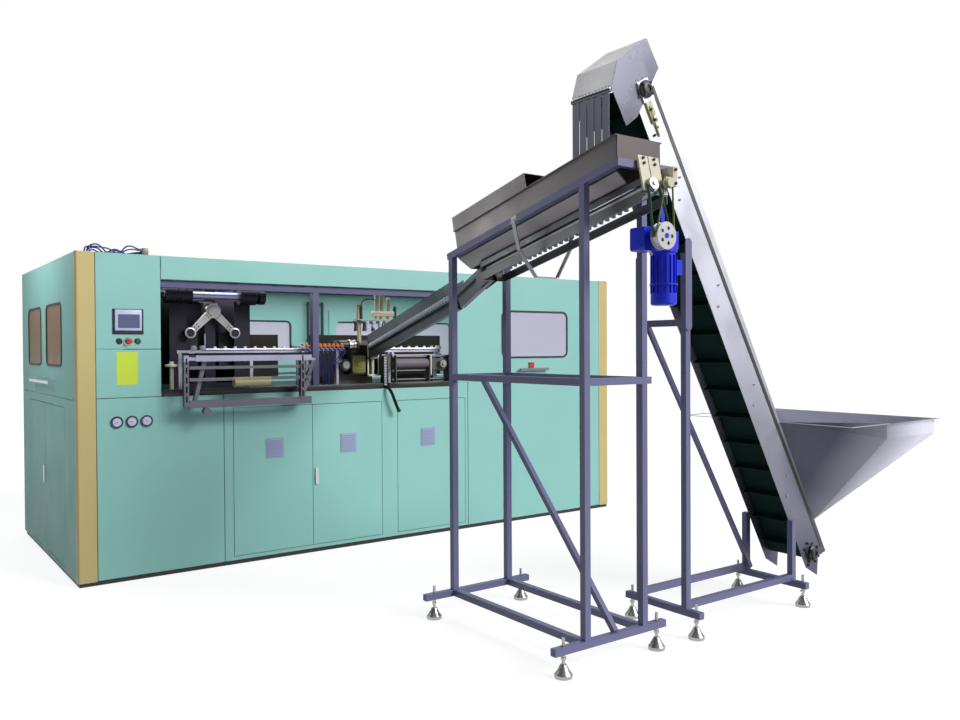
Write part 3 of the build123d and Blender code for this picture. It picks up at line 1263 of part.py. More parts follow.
# Cleated belt: endless band round both drums with upright cleats, drawn at rest
belt_edge = 12.0
belt_y = (elevator_far + belt_edge, elevator_near - belt_edge)
drum_clearance = 0.3
belt_inner = drum_radius + drum_clearance
drum_span = tail_drum_run - head_drum_run
cleats = int(drum_span / cleat_pitch)
with BuildPart() as cleated_belt:
    origin = on_belt((head_drum_run + tail_drum_run) / 2, drum_offset, belt_y[0])
    with BuildSketch(Plane(origin=origin, x_dir=down, z_dir=(0, -1, 0))) as loop:
        SlotCenterToCenter(drum_span, 2 * (belt_inner + belt_thickness))
        SlotCenterToCenter(drum_span, 2 * belt_inner, mode=Mode.SUBTRACT)
    extrude(loop.sketch, amount=belt_y[1] - belt_y[0])
    for i in range(cleats):
        run = head_drum_run + 90 + i * cleat_pitch
        for base, top in ((drum_offset + belt_inner + 1, drum_offset + belt_inner + cleat_height),
                          (drum_offset - belt_inner - cleat_height, drum_offset - belt_inner - 1)):
            belt_slab((run, run + 5), (base, top), belt_y)
cleated_belt.part.label = "cleated_belt"
export_step(cleated_belt.part, "parts/cleated_belt.step")

# Drums inside the belt, each on a shaft through both plates
for name, run in (("head_drum", head_drum_run), ("tail_drum", tail_drum_run)):
    with BuildPart() as drum:
        rod(on_belt(run, drum_offset, belt_y[0]), on_belt(run, drum_offset, belt_y[1]), drum_radius)
        rod(on_belt(run, drum_offset, elevator_far - 14), on_belt(run, drum_offset, elevator_near + 14), 15)
    drum.part.label = name
    export_step(drum.part, f"parts/{name}.step")

# Discharge hood over the head of the elevator: bent sheet between two cheeks, open at the bottom left
hood_points = [(2256, 3012), (2166, 3149), (1955, 2995), (1913, 2848), (2018, 2674), (2098, 2732)]
hood_near = elevator_near + 3
hood_far = elevator_far - 3
with BuildPart() as hood:
    middle = point(2090, -(hood_near + hood_far) / 2, 2900)
    for y in (hood_near, hood_far):
        plate([point(x, -y, z) for x, z in hood_points], 3, middle)
    for i in range(3):
        a, b = hood_points[i], hood_points[i + 1]
        plate([point(a[0], -hood_near, a[1]), point(b[0], -hood_near, b[1]),
               point(b[0], -hood_far, b[1]), point(a[0], -hood_far, a[1])], 3, middle)
    for y in (hood_near, hood_far):
        rod(on_belt(head_drum_run, drum_offset, y + 6), on_belt(head_drum_run, drum_offset, y - 6), 33,
            mode=Mode.SUBTRACT)
hood.part.label = "hood"
export_step(hood.part, "parts/hood.step")

# Strip curtain hanging from the hood's mouth into the trough
curtain_x = 1909.0
strip_width = 26.0
curtain_low = 2485.0
with BuildPart() as strip_curtain:
    slab((curtain_x - 4, curtain_x + 10), (-hood_near + 3.3, -hood_far - 3.3), (2830, 2846))
    for i in range(10):
        y = -hood_near + 12 + i * (strip_width + 1.6)
        slab((curtain_x - 2 + (i % 2) * 4, curtain_x + 1 + (i % 2) * 4), (y, y + strip_width),
             (curtain_low + (i * 37) % 50, 2831))
strip_curtain.part.label = "strip_curtain"
export_step(strip_curtain.part, "parts/strip_curtain.step")

# Hopper: folded sheets from a level rim down to the tail of the elevator, with a turned-out flange
mouth_run = ((plate_high + 0.6) * cos(lean) - hopper_rim) / sin(lean)
hopper_axis = (elevator_near + elevator_far) / 2
hopper_out = hopper_axis + hopper_half_width
rim_low = hopper_rim - hopper_band
mouth_rise = plate_high + 0.6
mouth_x = down.X * mouth_run + outward.X * mouth_rise
toe_x = down.X * hopper_mouth_low + outward.X * mouth_rise
toe_z = down.Z * hopper_mouth_low + outward.Z * mouth_rise
flange = 24.0
half_mouth = elevator_width / 2


def hopper_outline(x, half_width, z):
    """The two points of the hopper on either side of its middle plane."""
    return [point(x, -hopper_axis + side * half_width, z) for side in (-1, 1)]


mouth = hopper_outline(mouth_x, half_mouth, hopper_rim)
toe = hopper_outline(toe_x, half_mouth, toe_z)
bend_top = hopper_outline(hopper_corner, hopper_half_width, hopper_rim)
bend_low = hopper_outline(hopper_corner, hopper_half_width, rim_low)
end_top = hopper_outline(hopper_end, hopper_half_width, hopper_rim)
end_low = hopper_outline(hopper_end, hopper_half_width, rim_low)
with BuildPart() as hopper:
    sheets = [[end_top[0], end_top[1], end_low[1], end_low[0]], [end_low[0], end_low[1], toe[1], toe[0]]]
    for i in (0, 1):
        sheets += [[mouth[i], bend_top[i], bend_low[i]], [bend_top[i], end_top[i], end_low[i], bend_low[i]],
                   [bend_low[i], end_low[i], toe[i]], [bend_low[i], toe[i], mouth[i]]]
    openings = [[mouth[0], bend_top[0], end_top[0], end_top[1], bend_top[1], mouth[1]],
                [mouth[0], mouth[1], toe[1], toe[0]]]
    add(Solid(Shell([Face(Wire.make_polygon(outline)) for outline in sheets + openings])))
    rim_face = hopper.faces().sort_by(Axis.Z)[-1]
    mouth_face = hopper.faces().sort_by(Axis.X)[0]
    offset(amount=-hopper_sheet, openings=[rim_face, mouth_face], kind=Kind.ARC)
    for side in (-1, 1):
        edge_y = -hopper_axis + side * hopper_half_width
        slab((hopper_corner, hopper_end + flange), sorted((edge_y - side * 2, edge_y + side * flange)),
             (hopper_rim - 3, hopper_rim))
    slab((hopper_end - 2, hopper_end + flange), (-hopper_out, -hopper_out + 2 * hopper_half_width),
         (hopper_rim - 3, hopper_rim))
hopper.part.label = "hopper"
export_step(hopper.part, "parts/hopper.step")

# Elevator stand: ground frame, four legs, high cross rail and a slanting stay behind the plate
stand_rail = ground_rail_height
with BuildPart() as elevator_stand:
    for x in (stand_left, stand_right):
        tube(point(x, -stand_near_foot - 37, stand_rail), point(x, -stand_far_foot + 37, stand_rail),
             frame_tube)
    for y in (stand_near_leg, stand_far_leg):
        tube(point(stand_left - half_tube, -y, stand_rail + frame_tube),
             point(stand_right + half_tube, -y, stand_rail + frame_tube), frame_tube)
        tube(point(stand_left, -y, stand_rail + frame_tube + half_tube), point(stand_left, -y, 2056),
             frame_tube, side=(0, 1, 0))
        tube(point(stand_right, -y, stand_rail + frame_tube + half_tube), point(stand_right, -y, 505),
             frame_tube, side=(0, 1, 0))
    tube(point(stand_left, -stand_near_leg + half_tube, 1683), point(stand_left, -stand_far_leg - half_tube, 1683),
         frame_tube)
    bar_middle = point(stand_left, -stand_near_leg - half_tube, 1887)
    with BuildSketch(Plane(origin=bar_middle, x_dir=(0, 0, 1), z_dir=(0, -1, 0))) as bar:
        SlotOverall(494, 50)
    extrude(bar.sketch, amount=6)
    tube(point(stand_left + 10, -stand_far_leg - half_tube - 20, 1683),
         point(stand_right - 10, -stand_far_leg - half_tube - 20, stand_rail + 40), 24, side=(0, 1, 0))
    for x in (stand_left, stand_right + 10):
        for y in (stand_near_foot, stand_far_foot):
            rod(point(x, -y, foot_height), point(x, -y, stand_rail + half_tube + 1),
                spindle_radius + running_clearance, mode=Mode.SUBTRACT)
elevator_stand.part.label = "elevator_stand"
export_step(elevator_stand.part, "parts/elevator_stand.step")

# Roof hoses: two stiff air hoses that arch from a fitting block over the roof panel and go down into it
roof_top = roof_underside + panel_thickness
hose_radius = 5.0

def hose(points, radii, radius):
    """Hose along straight runs joined by tangent arcs."""
    with BuildLine() as path:
        FilletPolyline(*points, radius=radii)
    with BuildSketch(Plane(origin=path.line @ 0, z_dir=path.line % 0)) as bore:
        Circle(radius)
    sweep(bore.sketch, path=path.line)


def bend_radii(points):
    """Arc radius at each corner: a share of the shorter run beside it."""
    radii = []
    for before, corner, after in zip(points, points[1:], points[2:]):
        incoming = corner - before
        outgoing = after - corner
        turn = radians(incoming.get_angle(outgoing))
        radii.append(0.45 * min(incoming.length, outgoing.length) / tan(turn / 2))
    return radii


front_route = [(428, 64, 40), (405, 64, 44), (382, 64, 60), (334, 64, 60), (300, 64, 12), (255, 63, 7),
               (205, 62, 7), (168, 62, 60), (116, 64, 60), (88, 66, 26), (85, 66, 1)]
back_route = [(428, 82, 22), (392, 82, 20), (350, 82, 7), (318, 82, 7), (288, 83, 34), (250, 84, 34),
              (222, 85, 7), (190, 86, 7), (160, 87, 40), (116, 88, 40), (93, 90, 19), (91, 90, 1)]
with BuildPart() as roof_hoses:
    slab((438, 478), (50, 96), (roof_top, roof_top + 52))
    for route in (front_route, back_route):
        start = route[0]
        rod(point(start[0] + 10, start[1], roof_top + start[2]),
            point(start[0], start[1], roof_top + start[2]), 8)
        points = [point(x, y, roof_top + height) for x, y, height in route]
        radii = bend_radii(points)
        print("roof hose radii", [round(r) for r in radii])
        hose(points, radii, hose_radius)
roof_hoses.part.label = "roof_hoses"
export_step(roof_hoses.part, "parts/roof_hoses.step")

# Bed hose: black conduit that leaves the bed's edge and hangs in front of the doors, cut off bare
bed_hose_radius = 12.5
with BuildPart() as bed_hose:
    points = [point(2300, 70, 1247.8), point(2306, -20, 1249), point(2322, -50, 1215), point(2342, -58, 1160),
              point(2362, -60, 1105), point(2389, -62, 1050)]
    radii = bend_radii(points)
    print("bed hose radii", [round(r) for r in radii])
    hose(points, radii, bed_hose_radius)
bed_hose.part.label = "bed_hose"
export_step(bed_hose.part, "parts/bed_hose.step")
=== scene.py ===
from math import cos, pi, radians, sin

import bpy
from mathutils import Matrix, Vector


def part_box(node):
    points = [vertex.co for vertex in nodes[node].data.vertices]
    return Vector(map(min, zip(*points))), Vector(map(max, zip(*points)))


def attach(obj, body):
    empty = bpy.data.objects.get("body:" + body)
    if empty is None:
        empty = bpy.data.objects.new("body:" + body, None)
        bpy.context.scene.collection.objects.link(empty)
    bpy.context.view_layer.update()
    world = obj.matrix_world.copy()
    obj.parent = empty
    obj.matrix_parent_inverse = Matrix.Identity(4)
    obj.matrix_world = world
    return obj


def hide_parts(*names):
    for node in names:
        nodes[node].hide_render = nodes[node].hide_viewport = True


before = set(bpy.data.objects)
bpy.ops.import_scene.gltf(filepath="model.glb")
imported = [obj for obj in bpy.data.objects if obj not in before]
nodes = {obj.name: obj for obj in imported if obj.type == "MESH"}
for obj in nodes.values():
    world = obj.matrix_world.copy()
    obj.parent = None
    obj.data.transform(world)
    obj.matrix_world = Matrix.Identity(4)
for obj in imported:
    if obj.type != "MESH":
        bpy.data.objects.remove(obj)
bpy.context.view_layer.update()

# The camera stands at eye height in front of the cabinet's left end and looks along its front to the
# right, level and turned a little, as the photograph was taken. Its lens follows the photograph's width.
photo_width_px = 960
focal_px = 858.0
yaw, pitch, roll = radians(36.0953), radians(-0.7337), radians(-0.3048)
ahead = Vector((sin(yaw) * cos(pitch), cos(yaw) * cos(pitch), sin(pitch)))
level_right = Vector((cos(yaw), -sin(yaw), 0))
level_up = level_right.cross(ahead)
camera_right = level_right * cos(roll) + level_up * sin(roll)
camera_up = level_up * cos(roll) - level_right * sin(roll)
bpy.ops.object.select_all(action="DESELECT")
bpy.ops.object.camera_add()
camera = bpy.context.object
camera.matrix_world = Matrix.Translation((-3.55208, -7.1072, 1.54734)) @ Matrix(
    (camera_right, camera_up, -ahead)).transposed().to_4x4()
camera.data.sensor_width = 36
camera.data.lens = focal_px / photo_width_px * camera.data.sensor_width
camera.data.clip_end = 200
bpy.context.scene.camera = camera


# Hoses: four blue air hoses run from their block over the roof and down to it, a black conduit hangs from
# the bed's edge to its plug, and short air hoses join the fittings inside. All are plastic tube, each drawn
# as one smooth line with a thickness.
left_end_mm, front_mm = 2395, 1070


def spot(x, y, z):
    """A point in metres from its distances in mm to the cabinet's left end, its front and the floor."""
    return Vector((x - left_end_mm, y - front_mm, z)) / 1000


def object_coordinates(tree):
    """The Texture Coordinate node of a material, added when it is first needed."""
    found = tree.nodes.get("place")
    if found is None:
        found = tree.nodes.new("ShaderNodeTexCoord")
        found.name = "place"
    return found.outputs["Object"]


def noise(tree, scale, detail=3.0, stretch=(1, 1, 1)):
    """Noise value over the object's own coordinates, stretched along the axes as given."""
    mapping = tree.nodes.new("ShaderNodeMapping")
    mapping.inputs["Scale"].default_value = stretch
    tree.links.new(object_coordinates(tree), mapping.inputs["Vector"])
    texture = tree.nodes.new("ShaderNodeTexNoise")
    texture.inputs["Scale"].default_value = scale
    texture.inputs["Detail"].default_value = detail
    tree.links.new(mapping.outputs[0], texture.inputs["Vector"])
    return texture.outputs["Fac"]


def rescaled(tree, value, low, high, start=0.3, end=0.7):
    """A value spread between two limits."""
    spread = tree.nodes.new("ShaderNodeMapRange")
    spread.inputs["From Min"].default_value = start
    spread.inputs["From Max"].default_value = end
    spread.inputs["To Min"].default_value = low
    spread.inputs["To Max"].default_value = high
    tree.links.new(value, spread.inputs["Value"])
    return spread.outputs["Result"]


def blended(tree, factor, first, second):
    """Colour between two colours or sockets."""
    mix = tree.nodes.new("ShaderNodeMix")
    mix.data_type = "RGBA"
    tree.links.new(factor, mix.inputs["Factor"])
    for value, socket in ((first, mix.inputs["A"]), (second, mix.inputs["B"])):
        if isinstance(value, tuple):
            socket.default_value = (*value, 1)
        else:
            tree.links.new(value, socket)
    return mix.outputs["Result"]


def bumped(tree, value, strength, distance):
    """Surface normal raised by a value."""
    bump = tree.nodes.new("ShaderNodeBump")
    bump.inputs["Strength"].default_value = strength
    bump.inputs["Distance"].default_value = distance
    tree.links.new(value, bump.inputs["Height"])
    tree.links.new(bump.outputs["Normal"], tree.nodes["Principled BSDF"].inputs["Normal"])


def shaded(colour, share):
    """A colour made darker or lighter by a share of itself."""
    return tuple(min(1.0, c * share) for c in colour)


def enamel(name, colour, roughness=0.4, unevenness=0.05, peel=0.06):
    """Painted or moulded surface: even colour with slight cloudiness and a fine orange peel."""
    material = bpy.data.materials.new(name)
    material.use_nodes = True
    tree = material.node_tree
    shader = tree.nodes["Principled BSDF"]
    tone = blended(tree, noise(tree, 1.3, 4), shaded(colour, 1 - unevenness), shaded(colour, 1 + unevenness))
    tree.links.new(tone, shader.inputs["Base Color"])
    tree.links.new(rescaled(tree, noise(tree, 5), roughness - 0.05, roughness + 0.07),
                   shader.inputs["Roughness"])
    bumped(tree, noise(tree, 420, 2), peel, 0.0004)
    return material


def mounted(piece, material, body="machine"):
    """Gives a finished piece its material and the body that carries it."""
    piece.data.materials.clear()
    piece.data.materials.append(material)
    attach(piece, body)
    return piece


def hose(name, route, diameter):
    """A hose on one smooth line with the route's points, in mm, as its control points. Their own radius is
    kept small, because it counts in the object's bounds."""
    control_radius = 0.01
    line = bpy.data.curves.new(name, "CURVE")
    line.dimensions = "3D"
    spline = line.splines.new("NURBS")
    spline.points.add(len(route) - 1)
    for control, place in zip(spline.points, route):
        control.co = (*spot(*place), 1)
        control.radius = control_radius
    spline.order_u = 3
    spline.use_endpoint_u = True
    spline.resolution_u = 8
    line.bevel_depth = diameter / 2000 / control_radius
    line.bevel_resolution = 4
    line.use_fill_caps = True
    piece = bpy.data.objects.new(name, line)
    bpy.context.collection.objects.link(piece)
    return piece


def hose_length(piece):
    """Length of a hose's smooth line in metres, read from the line with its thickness off."""
    thickness = piece.data.bevel_depth
    piece.data.bevel_depth = 0
    line = bpy.data.meshes.new_from_object(piece)
    places = [v.co.copy() for v in line.vertices]
    bpy.data.meshes.remove(line)
    piece.data.bevel_depth = thickness
    return sum((b - a).length for a, b in zip(places, places[1:]))


air_hose_blue = enamel("air_hose_blue", (0.004, 0.012, 0.16), 0.3)
conduit_black = enamel("conduit_black", (0.004, 0.004, 0.005), 0.6)
conduit_black.node_tree.nodes["Principled BSDF"].inputs["Specular IOR Level"].default_value = 0.15

roof_top = 2197
roof_routes = {
    "roof_hose_front": [(428, 64, 40), (405, 64, 44), (382, 64, 60), (334, 64, 60), (300, 64, 12),
                        (255, 63, 7), (205, 62, 7), (168, 62, 60), (116, 64, 60), (88, 66, 26), (85, 66, 1)],
    "roof_hose_back": [(428, 82, 22), (392, 82, 20), (350, 82, 7), (318, 82, 7), (288, 83, 34), (250, 84, 34),
                       (222, 85, 7), (190, 86, 7), (160, 87, 40), (116, 88, 40), (93, 90, 19), (91, 90, 1)],
    "roof_hose_low": [(438, 73, 12), (412, 73, 10), (370, 74, 6), (330, 74, 6), (290, 74, 24), (246, 74, 24),
                      (206, 74, 6), (160, 75, 6), (132, 76, 26), (106, 77, 20), (100, 78, 1)],
    "roof_hose_side": [(438, 56, 30), (410, 54, 34), (372, 53, 40), (330, 52, 30), (300, 52, 6), (262, 52, 6),
                       (226, 52, 34), (176, 53, 40), (128, 54, 44), (78, 55, 40), (70, 56, 16), (70, 56, 1)]}
for name, route in roof_routes.items():
    piece = hose(name, [(x, y, roof_top + height) for x, y, height in route], 10)
    mounted(piece, air_hose_blue)
    if name == "roof_hose_front":
        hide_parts("roof_hoses")
    hose_length(piece)

bed_route = [(2300, 70, 1247.8), (2306, -20, 1249), (2322, -50, 1215), (2342, -58, 1160), (2362, -60, 1105),
             (2389, -62, 1050)]
bed_hose = mounted(hose("bed_conduit", bed_route, 25), conduit_black)
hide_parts("bed_hose")


# Roof hose block: the roof hoses come from a machined metal block, and its ports are screwed in. The
# conduit's plug is a turned black fitting at its hanging end.
def finished(piece, edge=0.0, segments=2):
    """Applies a piece's place and turn, rounds its edges by edge mm and smooths what is round."""
    bpy.ops.object.select_all(action="DESELECT")
    piece.select_set(True)
    bpy.context.view_layer.objects.active = piece
    bpy.ops.object.transform_apply(location=True, rotation=True, scale=True)
    if edge:
        rounding = piece.modifiers.new("rounding", "BEVEL")
        rounding.width = edge / 1000
        rounding.segments = segments
        rounding.limit_method = "ANGLE"
        bpy.ops.object.modifier_apply(modifier="rounding")
    bpy.ops.object.shade_smooth_by_angle(angle=radians(35))
    return piece


def block(name, low, high, edge=0.8, segments=2):
    """A block between two corners in mm, its edges rounded by edge mm."""
    low, high = spot(*low), spot(*high)
    bpy.ops.object.select_all(action="DESELECT")
    bpy.ops.mesh.primitive_cube_add(size=1, location=(low + high) / 2)
    piece = bpy.context.object
    piece.name = name
    piece.scale = high - low
    return finished(piece, edge, segments)


def turned(name, foot, along, profile, sides=32):
    """A turned part: rings of the profile, (radius, distance along) in mm, from its foot on."""
    bpy.ops.object.select_all(action="DESELECT")
    bpy.ops.mesh.primitive_circle_add(vertices=sides, radius=profile[0][0] / 1000, fill_type="NGON",
                                      location=(0, 0, profile[0][1] / 1000))
    piece = bpy.context.object
    piece.name = name
    bpy.ops.object.mode_set(mode="EDIT")
    bpy.ops.mesh.select_all(action="SELECT")
    for (radius, height), (next_radius, next_height) in zip(profile, profile[1:]):
        rise = (next_height - height) / 1000
        bpy.ops.mesh.extrude_region_move(TRANSFORM_OT_translate={"value": (0, 0, rise)})
        share = next_radius / radius
        bpy.ops.transform.resize(value=(share, share, 1))
    bpy.ops.mesh.select_all(action="SELECT")
    bpy.ops.mesh.normals_make_consistent(inside=False)
    bpy.ops.object.mode_set(mode="OBJECT")
    bpy.ops.object.transform_apply(location=True, rotation=True, scale=True)
    piece.rotation_euler = Vector(along).to_track_quat("Z", "Y").to_euler()
    piece.location = spot(*foot)
    return finished(piece)


def joined(name, pieces):
    """Several pieces as one object."""
    bpy.ops.object.select_all(action="DESELECT")
    for piece in pieces:
        piece.select_set(True)
    bpy.context.view_layer.objects.active = pieces[0]
    bpy.ops.object.join()
    whole = bpy.context.object
    whole.name = name
    bpy.ops.object.transform_apply(location=True, rotation=True, scale=True)
    return whole


def repeated(name, piece, steps):
    """A piece and its copies at steps in mm from it, as one object."""
    pieces = [piece]
    for step in steps:
        bpy.ops.object.select_all(action="DESELECT")
        piece.select_set(True)
        bpy.context.view_layer.objects.active = piece
        bpy.ops.object.duplicate()
        copy = bpy.context.object
        copy.location = Vector(step) / 1000
        pieces.append(copy)
    return joined(name, pieces)


def screws(name, places, along, across, height, hexagon=True):
    """Screw heads of one size, seated at places in mm and facing along, as one object."""
    profile = [(across / 2, -0.5), (across / 2, height * 0.85), (across * 0.44, height),
               (across * 0.2, height), (across * 0.17, height * 0.55)]
    first = turned(name, places[0], along, profile, sides=6 if hexagon else 16)
    steps = [tuple(b - a for a, b in zip(places[0], place)) for place in places[1:]]
    return repeated(name, first, steps)


def brushed(name, colour, roughness=0.3, stretch=(1, 1, 1), metallic=1.0):
    """Brushed metal: fine lines along one direction, a slow change of tone and of gloss."""
    material = bpy.data.materials.new(name)
    material.use_nodes = True
    tree = material.node_tree
    shader = tree.nodes["Principled BSDF"]
    shader.inputs["Metallic"].default_value = metallic
    lines = noise(tree, 60, 3, stretch)
    tone = blended(tree, lines, shaded(colour, 0.86), shaded(colour, 1.1))
    clouds = blended(tree, noise(tree, 2.2, 4), shaded(colour, 0.8), tone)
    tree.links.new(clouds, shader.inputs["Base Color"])
    tree.links.new(rescaled(tree, noise(tree, 4, 4), roughness - 0.06, roughness + 0.12),
                   shader.inputs["Roughness"])
    bumped(tree, lines, 0.08, 0.0005)
    return material


block_grey = brushed("hose_block_metal", (0.22, 0.22, 0.17), 0.45)
hose_block = block("roof_hose_block", (438, 50, roof_top), (478, 96, roof_top + 52), edge=2)
ports = [turned("port", (439, y, roof_top + height), (-1, 0, 0),
                [(8, 0), (8, 4), (9, 4.5), (9, 9), (7.6, 10), (7, 13), (5.4, 13.5)]) for y, height in
         ((64, 40), (82, 22))]
inlets = [turned("inlet", (x, y, roof_top), (0, 0, 1), [(12, 0), (12, 3), (9, 4), (9, 8), (6, 9)], sides=6)
          for x, y in ((85, 66), (91, 90))]
mounted(joined("roof_hose_fittings", [hose_block] + ports + inlets), block_grey)
plug = turned("bed_conduit_plug", (2380, -61.3, 1068), (27, -2, -55),
              [(13.4, 0), (14, 6), (17, 8), (17, 13), (15, 14), (15, 18), (17, 19), (17, 24), (13, 25)], 24)
mounted(plug, enamel("plug_black", (0.012, 0.012, 0.013), 0.35))
hose_length(bed_hose)


# The studio: a pale floor that runs up into a white surround. The floor shows white where it is lit and
# keeps the machine's soft shadow, and metal and glass mirror the same white.
def maths(tree, operation, first, second):
    """Result of a Math node on two sockets, or on a socket and a number."""
    node = tree.nodes.new("ShaderNodeMath")
    node.operation = operation
    tree.links.new(first, node.inputs[0])
    if isinstance(second, float):
        node.inputs[1].default_value = second
    else:
        tree.links.new(second, node.inputs[1])
    return node.outputs[0]


bpy.ops.object.select_all(action="DESELECT")
bpy.ops.mesh.primitive_plane_add(size=120, location=(0, 0, -0.001))
floor = bpy.context.object
floor.name = "studio_floor"
floor_material = bpy.data.materials.new("studio_floor")
floor_material.use_nodes = True
tree = floor_material.node_tree
floor_shader = tree.nodes["Principled BSDF"]
floor_shader.inputs["Base Color"].default_value = (0.27, 0.27, 0.28, 1)
floor_shader.inputs["Roughness"].default_value = 0.95
floor_shader.inputs["Specular IOR Level"].default_value = 0.0
rays = tree.nodes.new("ShaderNodeLightPath")
seen = maths(tree, "MAXIMUM", rays.outputs["Is Camera Ray"], rays.outputs["Is Glossy Ray"])
floor_glow = tree.nodes.new("ShaderNodeEmission")
floor_glow.inputs["Color"].default_value = (1, 1, 1, 1)
tree.links.new(seen, floor_glow.inputs["Strength"])
floor_dim = tree.nodes.new("ShaderNodeMixShader")
floor_dim.inputs["Fac"].default_value = 0.82
floor_dark = tree.nodes.new("ShaderNodeEmission")
floor_dark.inputs["Strength"].default_value = 0.0
both_floors = tree.nodes.new("ShaderNodeAddShader")
tree.links.new(floor_dark.outputs[0], floor_dim.inputs[1])
tree.links.new(floor_glow.outputs[0], floor_dim.inputs[2])
tree.links.new(floor_shader.outputs[0], both_floors.inputs[0])
tree.links.new(floor_dim.outputs[0], both_floors.inputs[1])
tree.links.new(both_floors.outputs[0], tree.nodes["Material Output"].inputs["Surface"])
floor.data.materials.append(floor_material)

world = bpy.data.worlds.new("studio_white")
bpy.context.scene.world = world
world.use_nodes = True
tree = world.node_tree
soft_light = tree.nodes["Background"]
soft_light.inputs["Color"].default_value = (1, 1, 1, 1)
direction = tree.nodes.new("ShaderNodeTexCoord")
sides = tree.nodes.new("ShaderNodeSeparateXYZ")
tree.links.new(direction.outputs["Generated"], sides.inputs[0])
brighter = tree.nodes.new("ShaderNodeMapRange")
brighter.inputs["From Min"].default_value = -0.6
brighter.inputs["From Max"].default_value = 0.3
brighter.inputs["To Min"].default_value = 0.13
brighter.inputs["To Max"].default_value = 0.44
tree.links.new(sides.outputs["X"], brighter.inputs["Value"])
tree.links.new(brighter.outputs["Result"], soft_light.inputs["Strength"])
white_view = tree.nodes.new("ShaderNodeBackground")
white_view.inputs["Color"].default_value = (1, 1, 1, 1)
white_view.inputs["Strength"].default_value = 1.0
rays = tree.nodes.new("ShaderNodeLightPath")
direct = maths(tree, "MAXIMUM", rays.outputs["Is Camera Ray"], rays.outputs["Is Transmission Ray"])
choice = tree.nodes.new("ShaderNodeMixShader")
tree.links.new(direct, choice.inputs["Fac"])
tree.links.new(soft_light.outputs[0], choice.inputs[1])
tree.links.new(white_view.outputs[0], choice.inputs[2])
tree.links.new(choice.outputs[0], tree.nodes["World Output"].inputs["Surface"])

bpy.ops.object.light_add(type="SUN", location=(4, -6, 8))
sun = bpy.context.object
sun.data.energy = 3.0
sun.data.angle = radians(28)
sun.rotation_euler = Vector((-0.46, 0.74, -0.49)).to_track_quat("-Z", "Y").to_euler()
bpy.ops.object.light_add(type="SUN", location=(-2, 8, 6))
back_sun = bpy.context.object
back_sun.name = "back_sun"
back_sun.data.energy = 1.5
back_sun.data.angle = radians(45)
back_sun.rotation_euler = Vector((-0.16, -0.92, -0.37)).to_track_quat("-Z", "Y").to_euler()

for name, place, turn, size, energy in (("inside_light", (-0.1, -0.1, 2.13), (0, 0, 0), (4.3, 1.5), 66),
                                        ("left_light", (-3.15, 0.0, 2.95), (0, -42, 0), (1.9, 0.6), 23),
                                        ("hood_light", (-1.9, -3.9, 3.7), (0, -56, 0), (0.8, 0.6), 9)):
    bpy.ops.object.light_add(type="AREA", location=place)
    lamp = bpy.context.object
    lamp.name = name
    lamp.rotation_euler = [radians(angle) for angle in turn]
    lamp.data.shape = "RECTANGLE"
    lamp.data.size, lamp.data.size_y = size
    lamp.data.energy = energy

bpy.context.scene.view_settings.view_transform = "Standard"


# Cabinet sheets: folded steel, powder coated in pale green on all outer faces. The coat has a fine
# orange peel and a faint unevenness of tone, and the latch, grips and louvred grilles have other finishes.
def recolour(material, low, high, colour, metallic=None, roughness=None):
    """Another colour inside a box, given by its corners in metres: a second finish where a CAD node holds
    two, and painted shade on the elevator's lip and the hood's near cheek.
    """
    tree = material.node_tree
    shader = tree.nodes["Principled BSDF"]
    split = tree.nodes.new("ShaderNodeSeparateXYZ")
    tree.links.new(object_coordinates(tree), split.inputs[0])
    inside = None
    for axis in range(3):
        for limit, operation in ((low[axis], "GREATER_THAN"), (high[axis], "LESS_THAN")):
            if limit is None:
                continue
            test = maths(tree, operation, split.outputs[axis], float(limit))
            inside = test if inside is None else maths(tree, "MULTIPLY", inside, test)
    before = shader.inputs["Base Color"].links[0].from_socket
    tree.links.new(blended(tree, inside, before, colour), shader.inputs["Base Color"])
    for value, socket in ((metallic, shader.inputs["Metallic"]), (roughness, shader.inputs["Roughness"])):
        if value is None:
            continue
        change = tree.nodes.new("ShaderNodeMix")
        change.data_type = "FLOAT"
        tree.links.new(inside, change.inputs["Factor"])
        if socket.links:
            tree.links.new(socket.links[0].from_socket, change.inputs["A"])
        else:
            change.inputs["A"].default_value = socket.default_value
        change.inputs["B"].default_value = value
        tree.links.new(change.outputs["Result"], socket)
    return material


def painted_light_gradient(material, axis, start, end, colour):
    """Paints light or shade into a finish: it turns slowly into another colour between two places along an
    axis, in metres.
    """
    tree = material.node_tree
    shader = tree.nodes["Principled BSDF"]
    split = tree.nodes.new("ShaderNodeSeparateXYZ")
    tree.links.new(object_coordinates(tree), split.inputs[0])
    share = rescaled(tree, split.outputs[axis], 0, 1, start, end)
    before = shader.inputs["Base Color"].links[0].from_socket
    tree.links.new(blended(tree, share, before, colour), shader.inputs["Base Color"])
    return material


def paint(material, *names):
    """Gives CAD nodes their finish."""
    for name in names:
        mesh = nodes[name].data
        mesh.materials.clear()
        mesh.materials.append(material)


